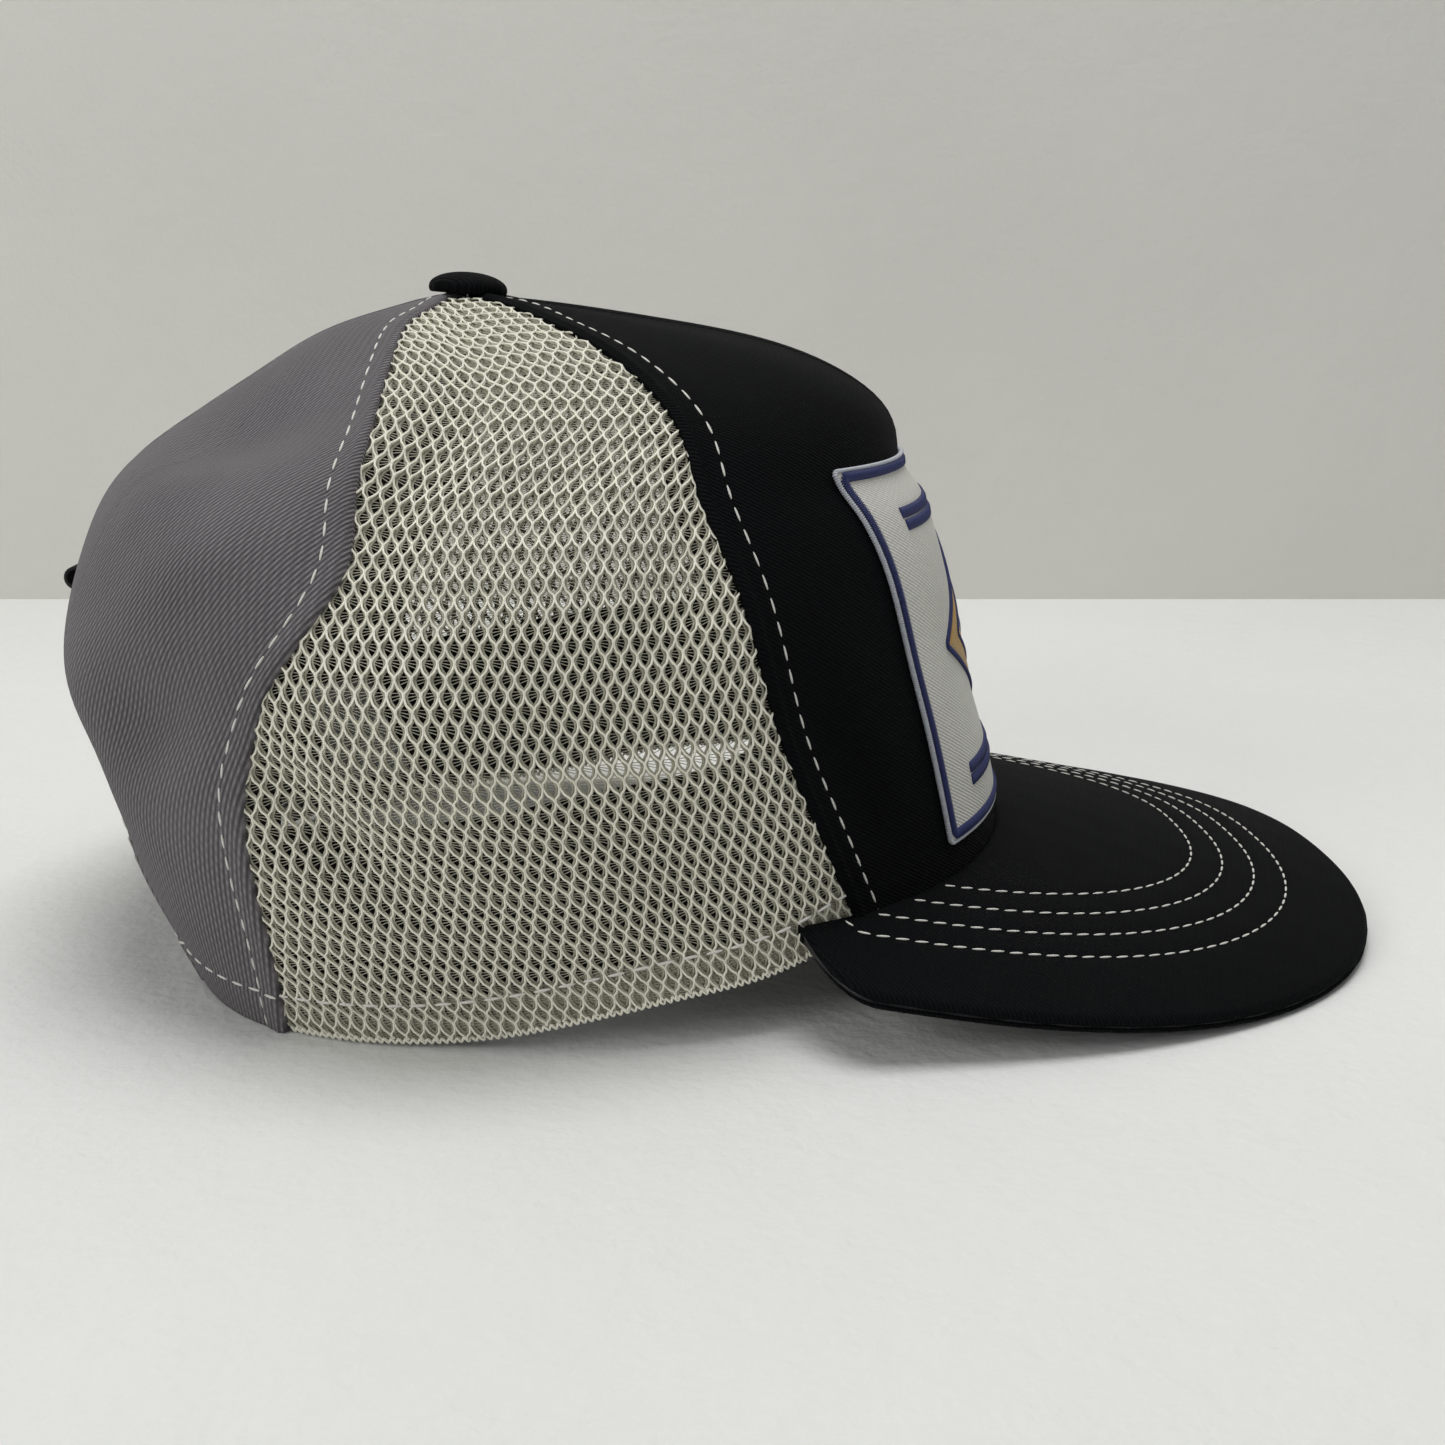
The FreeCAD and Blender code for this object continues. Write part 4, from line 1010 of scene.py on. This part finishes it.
def sew(name, rows, pitch, along, across, height, material, slot):
    """Stitches along several rows, as one piece."""
    points, outwards = (np.concatenate([row[k] for row in rows]) for k in (0, 1))
    return grown(name, points, outwards, joined_up([row[0] for row in rows]), stitch_tree,
                 {"Pitch": pitch, "Along": along, "Across": across, "Height": height}, material, slot)


# %% Rows beside the seams and above the hem
def seam_row(line, distance, inset, side, top_radius=9.0):
    climb = np.linspace(float(hem(line(0.0), 1.5)), climb_to_radius(top_radius), 120)
    return crown_row(side * beside(line, distance)(climb), climb, inset)


def hem_row(first, last, lift, inset, side):
    start, finish = float(first(hem(first(0.0), lift))), float(last(hem(last(0.0), lift)))
    angle = np.linspace(start, finish, 90)
    return crown_row(side * angle, hem(angle, lift), inset)


foot_row_end = opening_side(1.0)
for side, word in ((1, "left"), (-1, "right")):
    rows = [seam_row(front_seam, -FRONT_STITCH, lambda a, c: front_inset(a, c) - 0.12, side),
            seam_row(rear_seam, REAR_STITCH, lambda a, c: rear_inset(a, c) - 0.12, side)]
    sew(f"seam_stitch_{word}", rows, 4.2, 2.9, 0.50, 0.42, white_thread, "seam_tape")
    rows = [hem_row(beside(front_seam, 1.0), beside(rear_seam, -1.0), HEM_STITCH, -0.12, side),
            hem_row(beside(rear_seam, 1.0), foot_row_end, HEM_STITCH, lambda a, c: rear_inset(a, c) - 0.1, side)]
    sew(f"hem_stitch_{word}", rows, 4.4, 3.2, 0.62, 0.55, white_thread, "seam_tape")


def arch_row(distance):
    """Beside the rear opening, over its arch."""
    t = np.linspace(0.02, np.pi - 0.02, 120)
    y, z = (ARCH_HALF + distance) * np.cos(t), ARCH_SPRING + (ARCH_TOP - ARCH_SPRING + distance) * np.sin(t)
    climb = climb_to(z)
    angle = degrees_to(abs(y), climb)
    return crown_row(np.where(y > 0, angle, 360 - angle), climb,
                     lambda a, c: rear_inset(np.minimum(a, 360 - a), c) - 0.1)


sew("opening_stitch", [arch_row(4.6)], 3.6, 2.5, 0.45, 0.4, white_thread, "seam_tape")
band_turn = np.linspace(-150, 150, 400)
band_rows = [(lambda p, n: (p, -n))(*crown_row(band_turn, above_hem(band_turn) + rise, 4.55)) for rise in (3.0, 35.0)]
sew("sweatband_stitch", band_rows, 3.4, 2.4, 0.45, 0.4, black_thread, "sweatband_cloth")

# %% [markdown]
# ## The visor
#
# A visor is a sandwich: a plastic board between two pieces of twill, sewn through along the board with rows
# that follow its rim. Where a row pulls the cloth down there is a groove, and between rows it puffs up. The
# covers turn over the rim towards each other. Their heights over the board are sums of those three effects.

# %% The visor's outline and surface
VISOR_LENGTH, VISOR_HALF, VISOR_WIDEST, VISOR_HORN, SQUARENESS = 115.7, 87.7, 74.8, 14.0, 2.5135
VISOR_THICK = 3.2
ROW_SPACING = 6.35
ROWS_IN = [15.8 + ROW_SPACING * n for n in range(4)]


def visor_height(x, y):
    return 21.17 - 0.1888 * (x - AXIS_X - 112.0) - 0.0019 * y * y


def wall_distance(x, y, z):
    """Millimetres from the crown, beside its front half."""
    _, front, rear, width, _ = (curve(climb_to(z)) for curve in crown_curves)
    length, middle = (front - rear) / 2, (front + rear) / 2
    reach = np.hypot((x - middle) / length, y / width)
    return (reach - 1) * np.hypot(x - middle, y) / reach


def rim_line(setback):
    """The left half of the rim, or of a row inside it, from the tip back to the crown, as (x, y)."""
    widest, power = AXIS_X + VISOR_WIDEST, 2 / SQUARENESS
    length, half = VISOR_LENGTH - setback, VISOR_HALF - setback
    t = np.radians(np.linspace(0, 90, 181))
    cosine, sine = np.clip(np.cos(t), 0, 1), np.sin(t)
    ahead = np.stack([widest + length * cosine ** power, half * sine ** power], 1)
    horn, turn_in = VISOR_HORN - setback / 2, VISOR_HALF / 3 - setback
    behind = np.stack([widest - horn * sine, half - turn_in * (1 - cosine)], 1)[1:]
    line = np.concatenate([ahead, behind])
    return line[wall_distance(line[:, 0], line[:, 1], visor_height(line[:, 0], line[:, 1])) > 1.5]


def evenly(line, count):
    travel = travelled(line)
    at = np.linspace(0, travel[-1], count)
    return np.stack([np.interp(at, travel, line[:, k]) for k in range(2)], 1)


def both_sides(half):
    return np.concatenate([half[::-1] * (1, -1), half[1:]])


def visor_grid(stations, rows, depth):
    """Places from root to rim, as x and y grids, with their distance in from the rim and their rays."""
    half = evenly(rim_line(0.0), (stations + 1) // 2)
    rim = both_sides(half)
    _, front, rear, _, _ = (curve(climb_to(10.0)) for curve in crown_curves)
    middle = (front + rear) / 2
    widest_turn = math.atan2(half[-1, 1], half[-1, 0] - middle)
    turn = np.linspace(-widest_turn, widest_turn, stations)
    ray = np.stack([np.cos(turn), np.sin(turn)], 1)
    low, high = np.full(stations, 40.0), np.full(stations, 140.0)
    for _ in range(40):
        mid = (low + high) / 2
        x, y = middle + ray[:, 0] * mid, ray[:, 1] * mid
        outside = wall_distance(x, y, visor_height(x, y) - depth) > 0.3
        low, high = np.where(outside, low, mid), np.where(outside, mid, high)
    root = np.stack([middle, 0.0])[None, :] + ray * ((low + high) / 2)[:, None]
    length = np.linalg.norm(rim - root, axis=1)[:, None]
    edge_rows = np.array([1.6, 1.2, 0.8, 0.5, 0.3, 0.15, 0.06, 0.0])
    share = np.concatenate([np.linspace(0, 1, rows - len(edge_rows), endpoint=False)[None, :] * (1 - 2.2 / length),
                            1 - edge_rows[None, :] / length], axis=1)
    spots = root[:, None, :] + (rim - root)[:, None, :] * share[..., None]
    fine = both_sides(evenly(rim_line(0.0), 900))
    for end in (0, -1):
        fine = np.concatenate([fine, root[end] + (rim[end] - root[end]) * np.linspace(0, 1, 40)[:, None]])
    away = np.array([np.linalg.norm(row[:, None, :] - fine[None], axis=-1).min(1) for row in spots])
    inward = (root - rim) / np.linalg.norm(root - rim, axis=1, keepdims=True)
    return spots[..., 0], spots[..., 1], away, inward


row_lines = [both_sides(evenly(rim_line(setback), 200)) for setback in ROWS_IN]


def sewn_relief(x, y):
    """Grooves along the rows and a slight puff between them, in millimetres."""
    places = np.stack([x.ravel(), y.ravel()], 1)
    nearest = np.min([np.linalg.norm(places[:, None, :] - line[None], axis=-1).min(1) for line in row_lines], axis=0)
    nearest = nearest.reshape(x.shape)
    return 0.16 * np.clip(nearest / 3.2, 0, 1) ** 0.6 - 0.28 * np.exp(-(nearest / 0.7) ** 2)


# %% The two covers
STATIONS, VISOR_ROWS = 161, 74
for name, node, up, root_depth in (("visor_upper", "visor_top_cover", 1, 0.0),
                                   ("visor_lower", "visor_under_cover", -1, VISOR_THICK)):
    x, y, away, inward = visor_grid(STATIONS, VISOR_ROWS, root_depth)
    rounding = 1.55 * (1 - np.sqrt(np.clip(1 - (1 - np.clip(away / 1.2, 0, 1)) ** 2, 0, 1)))
    lump = 0.07 * np.sin(x * 0.41 + y * 0.23) * np.sin(y * 0.19 - x * 0.11)
    puff = (sewn_relief(x, y) + lump) * np.clip(away / 4, 0, 1)
    top = visor_height(x, y)
    if up > 0:
        outer_z, inner_z = top - rounding + puff, top - np.minimum(rounding + 0.7, 1.55)
    else:
        outer_z, inner_z = top - VISOR_THICK + rounding - puff, top - np.maximum(VISOR_THICK - 0.7 - rounding, 1.65)
    tuck = 0.7 * ramp_down(away, 0, 3)
    outer = np.stack([x, y, outer_z], -1).reshape(-1, 3)
    inner = np.stack([x + inward[:, None, 0] * tuck, y + inward[:, None, 1] * tuck, inner_z], -1).reshape(-1, 3)
    quads = grid_quads(*x.shape)
    if up > 0:
        quads = quads[:, ::-1]
    cloth_shell(name, outer, inner, quads, outer[:, [1, 0]], black_twill, "black_twill", node)

rim = both_sides(evenly(rim_line(1.1), 240))
cord_points = np.stack([rim[:, 0], rim[:, 1], visor_height(rim[:, 0], rim[:, 1]) - VISOR_THICK / 2], 1)
made = grown("piping_cord", cord_points, np.tile([0.0, 0.0, 1.0], (len(rim), 1)), joined_up([rim]), thread_tree,
             {"Across": 1.3, "Height": 1.2}, black_thread, "black_twill")
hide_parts("visor_piping")

# %% The visor's rows
for name, up in (("visor_stitch_upper", 1), ("visor_stitch_lower", -1)):
    rows = []
    for line in row_lines:
        x, y = line[:, 0], line[:, 1]
        z = visor_height(x, y) + (-0.05 if up > 0 else 0.05 - VISOR_THICK)
        rows.append((np.stack([x, y, z], 1), np.tile([0.0, 0.0, float(up)], (len(x), 1))))
    sew(name, rows, 3.6, 2.7, 0.50, 0.45, white_thread, "seam_tape")

# %% [markdown]
# ## The patch
#
# A sewn-on patch is a piece of pale twill. Its edge is overlocked with thread, a satin border runs just
# inside it, and its motif is satin embroidery: threads laid side by side across a shape. The motif here is
# a plain lozenge between two bars of two rows each. The border and bars are threads that lie across their rows.

# %% Places on the patch
PATCH_HALF, PATCH_LOW, PATCH_HIGH, PATCH_MIDDLE = 52.0, climb_to(26.0), climb_to(99.0), 62.5
BAR_HALF, BAR_AWAY = 37.4, 25.5      # half a bar's length, and its height over or under the middle
patch_middle = climb_to(PATCH_MIDDLE)
patch_turns = np.linspace(-75, 75, 301)


def patch_angle(p, climb):
    """Degrees round for millimetres across from the middle line."""
    p, climb = np.broadcast_arrays(np.asarray(p, float), np.asarray(climb, float))
    found = np.empty(p.shape)
    for value in np.unique(climb):
        ring = form_point(patch_turns, np.full(patch_turns.shape, value))
        length = travelled(ring)
        here = climb == value
        found[here] = np.interp(p[here], length - length[150], patch_turns)
    return found


def patch_piece(name, p, q, outset, under, material, slot, node, cloth=False):
    """A layer on the patch over a grid of (p, q) places."""
    angle = patch_angle(p, q).ravel()
    outer, inner = (cloth_point(angle, q.ravel(), -depth) for depth in (outset.ravel(), np.full(q.size, under)))
    uv = np.stack([p.ravel(), q.ravel()], 1)
    cloth_shell(name, outer, inner, grid_quads(*p.shape), uv, material, slot, node, cloth)


def patch_row(corners, outset, per_side=60):
    """A closed row on the patch through (p, q) corners, its corners a little rounded."""
    corners = np.array(corners, float)
    points = []
    for a, b in zip(corners, np.roll(corners, -1, axis=0)):
        step = (b - a) / np.linalg.norm(b - a)
        points.append(a + step * 0.7 + np.linspace(0, 1, per_side)[:, None] * (b - a - step * 1.4))
    points = np.concatenate(points + [points[0][:1]])
    angle = patch_angle(points[:, 0], points[:, 1])
    return crown_row(angle, points[:, 1], -outset)


def patch_corners(setback):
    low, high, half = PATCH_LOW + setback, PATCH_HIGH - setback, PATCH_HALF - setback
    return [(-half, low), (half, low), (half, high), (-half, high)]


# %% Patch finishes
patch_twill = twill("patch_cloth", (0.448, 0.437, 0.401), (0.779, 0.767, 0.72), pitch=0.7, slant=150, roughness=0.8)
navy_thread = thread_paint("navy_thread", (0.006, 0.010, 0.06), (0.02, 0.03, 0.16), roughness=0.6)
pale_thread = thread_paint("edge_thread", (0.40, 0.42, 0.46), (0.68, 0.70, 0.74), roughness=0.55)


def satin(name, shadow, light, pitch=0.42, **plain):
    """Threads side by side, broken where one row of stitches ends and the next begins."""
    paint = Paint(name)
    u, v = paint.cloth_axes()
    ridge = ((u * (2 * math.pi / pitch)).sine() * 0.5 + 0.5) ** 0.6
    row = (v * 0.22 + (u * (1 / pitch)).floor() * 0.31).fraction()
    gap = row.ramp(0.0, 0.08)
    fibre = paint.noise(paint.position(), 3200.0, 2.0)
    height = ridge * gap
    return paint.finish(paint.mix(height * 0.8 + fibre * 0.2, shadow, light), height=height, depth=0.0002, **plain)


gold_satin = satin("gold_satin", (0.30, 0.15, 0.015), (0.72, 0.43, 0.075), roughness=0.4)
blue_satin = satin("blue_satin", (0.015, 0.022, 0.11), (0.05, 0.07, 0.30), roughness=0.4)

# %% Patch cloth, edge and border
share_p, share_q = np.meshgrid(np.linspace(-1, 1, 90), np.linspace(0, 1, 64), indexing="ij")
p, q = share_p * (PATCH_HALF - 0.5), PATCH_LOW + 0.5 + share_q * (PATCH_HIGH - PATCH_LOW - 1)
edge = np.minimum(PATCH_HALF - abs(p), np.minimum(q - PATCH_LOW, PATCH_HIGH - q))
outset = 1.1 - 0.3 * ramp_down(edge, 0.5, 1.6) - 0.12 * bell(edge, 3.4, 0.5)
patch_piece("patch_twill", p, q, outset, 0.3, patch_twill, "patch_cloth", "patch_cloth", cloth=True)
sew("patch_edge", [patch_row(patch_corners(0.45), 0.70)], 0.46, 0.56, 0.9, 1.3, pale_thread, "border_thread")
made = sew("patch_border_thread", [patch_row(patch_corners(1.95), 1.15)], 0.40, 0.50, 2.4, 1.0, navy_thread,
           "border_thread")
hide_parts("patch_border")


# %% The lozenge and the bars
def lozenge(half_wide, half_tall):
    return [(0, patch_middle - half_tall), (half_wide, patch_middle), (0, patch_middle + half_tall),
            (-half_wide, patch_middle)]


def lozenge_fill(name, half_wide, half_tall, low, high, material, node):
    s, t = np.meshgrid(np.linspace(0, 1, 48), np.linspace(0, 1, 48), indexing="ij")
    edge = np.minimum(np.minimum(s, 1 - s), np.minimum(t, 1 - t)) * half_tall * 1.7
    outset = low + (high - low) * (1 - ramp_down(edge, 0, 1.6))
    patch_piece(name, half_wide * (s - t), patch_middle + half_tall * (s + t - 1), outset, low - 0.12,
                material, "emblem_thread", node)


lozenge_fill("lozenge_gold", 33.4, 18.4, 1.15, 1.62, gold_satin, "patch_emblem")
lozenge_fill("lozenge_blue", 15.0, 8.3, 1.6, 1.95, blue_satin, "patch_emblem")
sew("lozenge_outline", [patch_row(lozenge(33.6, 18.6), 1.3), patch_row(lozenge(22.5, 12.4), 1.55)], 0.40, 0.50,
    1.5, 0.9, navy_thread, "emblem_thread")
for word, sign in (("upper", 1), ("lower", -1)):
    along, climb = np.linspace(-BAR_HALF, BAR_HALF, 100), climb_to(PATCH_MIDDLE + sign * BAR_AWAY)
    rows = [crown_row(patch_angle(along, at), at, -1.2) for at in (climb - 1.25, climb + 1.25)]
    made = sew(f"bar_{word}", rows, 0.40, 0.50, 2.7, 0.9, navy_thread, "border_thread")
    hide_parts(f"patch_bar_{word}")

# %% [markdown]
# ## Button, tab and hard parts
#
# The top button is a metal shell with twill pulled over it and gathered underneath, so its cloth has small
# pleats near the rim. It is a profile turned round an axis that leans a little forward. The tab at the back
# is a folded ribbon. The straps, anchors, board and the button's metal keep their frame shapes and get
# finishes.

# %% The covered button
def turned_cloth(name, profile, steps, seat, lean, material, node):
    """A closed shell turned from (radius, height) points that start and end on the axis."""
    profile = np.array(profile, float)
    turn = np.linspace(0, 2 * np.pi, steps, endpoint=False)
    points, faces, count = [(0, 0, profile[0, 1])], [], len(profile) - 2
    for radius, height in profile[1:-1]:
        pleat = 0.10 * math.exp(-((height - 1.3) / 1.1) ** 2) * np.cos(13 * turn + 0.7 * np.sin(2 * turn))
        points += list(zip((radius + pleat) * np.cos(turn), (radius + pleat) * np.sin(turn), np.full(steps, height)))
    points.append((0, 0, profile[-1, 1]))
    for j in range(steps):
        k = (j + 1) % steps
        faces.append((0, 1 + j, 1 + k))
        faces += [(1 + i * steps + j, 1 + (i + 1) * steps + j, 1 + (i + 1) * steps + k, 1 + i * steps + k)
                  for i in range(count - 1)]
        faces.append((1 + (count - 1) * steps + j, len(points) - 1, 1 + (count - 1) * steps + k))
    points = np.array(points)
    sine, cosine = math.sin(math.radians(lean)), math.cos(math.radians(lean))
    x, z = points[:, 0] * cosine + points[:, 2] * sine, points[:, 2] * cosine - points[:, 0] * sine
    made = new_piece(name, np.stack([x + AXIS_X, points[:, 1], z + seat], 1), faces, material, points[:, :2])
    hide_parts(node)


arc_steps = np.radians(np.linspace(0, 90, 13))
over = [(7.8 * math.cos(a), 1.6 + 3.0 * math.sin(a)) for a in arc_steps[:-1]]
under = [(7.2 * math.cos(a), 1.6 + 2.4 * math.sin(a)) for a in arc_steps[:-1]]
profile = [(0, 4.6)] + over[::-1] + [(7.85, 1.1), (7.7, 0.5), (7.35, 0.3), (7.2, 0.6)] + under + [(0, 4.0)]
turned_cloth("button_cloth", profile, 78, 129.6, 4.0, black_twill, "button_cover")

# %% The tab
TAB_MARGIN, TAB_HALF_THICK = 0.35, 0.33
low, high = (np.array(corner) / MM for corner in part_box("rear_tab"))
t = np.linspace(-np.pi / 2, np.pi / 2, 11)
radius, middle = (high[2] - low[2]) / 2 - TAB_MARGIN, (high[2] + low[2]) / 2
bend = np.stack([low[0] + TAB_MARGIN + radius - radius * np.cos(t), middle + radius * np.sin(t)], 1)
path = np.concatenate([[(high[0], middle - radius)], bend, [(high[0], middle + radius)]])
facing = np.stack([-np.cos(t), np.sin(t)], 1)
facing = np.concatenate([[(0, -1)], facing, [(0, 1)]])
across = np.linspace(low[1], high[1], 7)
skins = []
for offset in (TAB_HALF_THICK, -TAB_HALF_THICK):
    line = path + facing * offset
    skins.append(np.array([[(x, y, z) for y in across] for x, z in line]).reshape(-1, 3))
quads = grid_quads(len(path), len(across))
normal = np.cross(skins[0][quads[40, 1]] - skins[0][quads[40, 0]], skins[0][quads[40, 2]] - skins[0][quads[40, 1]])
if normal @ (skins[0][quads[40, 0]] - skins[1][quads[40, 0]]) < 0:
    quads = quads[:, ::-1]
travel = travelled(path)
uv = np.stack([np.tile(across, len(path)), np.repeat(travel, len(across))], 1)
cloth_shell("tab_ribbon", *skins, quads, uv, tape_cloth, "seam_tape", "rear_tab", held="folded")


# %% Plastic and metal finishes
def moulded(name, colour, roughness=0.38, grain=900.0):
    """Moulded plastic: a fine grain and faint cloudiness."""
    paint = Paint(name)
    where = paint.position()
    cloud = paint.noise(where, 60.0, 3.0)
    return paint.finish(paint.mix(cloud, [c * 0.8 for c in colour], [c * 1.2 for c in colour]),
                        height=paint.noise(where, grain, 2.0), depth=0.00004,
                        roughness=cloud * 0.15 + (roughness - 0.07))


def brushed(name, colour):
    paint = Paint(name)
    where = paint.position()
    scratch = paint.noise(where, 2400.0, 3.0)
    return paint.finish(paint.mix(scratch, [c * 0.8 for c in colour], colour), height=scratch, depth=0.00002,
                        roughness=scratch * 0.2 + 0.22, metallic=1.0)


strap_plastic = moulded("strap_plastic", (0.022, 0.022, 0.024))
board_plastic = moulded("board_plastic", (0.70, 0.70, 0.68), 0.5)
steel = brushed("button_steel", (0.60, 0.59, 0.57))
finishes = {"snap_strap_holes": strap_plastic, "snap_strap_pegs": strap_plastic, "strap_anchor_left": strap_plastic,
            "strap_anchor_right": strap_plastic, "visor_board": board_plastic,
            "button_shell": steel, "button_prong": steel, "button_washer": steel}
for name, material in finishes.items():
    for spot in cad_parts[name].material_slots:
        spot.material = material
hidden = [n for n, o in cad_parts.items() if o.hide_render]
print(len(finishes), "frame parts shown,", len(hidden), "stood for by cloth;",
      [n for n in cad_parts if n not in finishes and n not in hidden], "left")
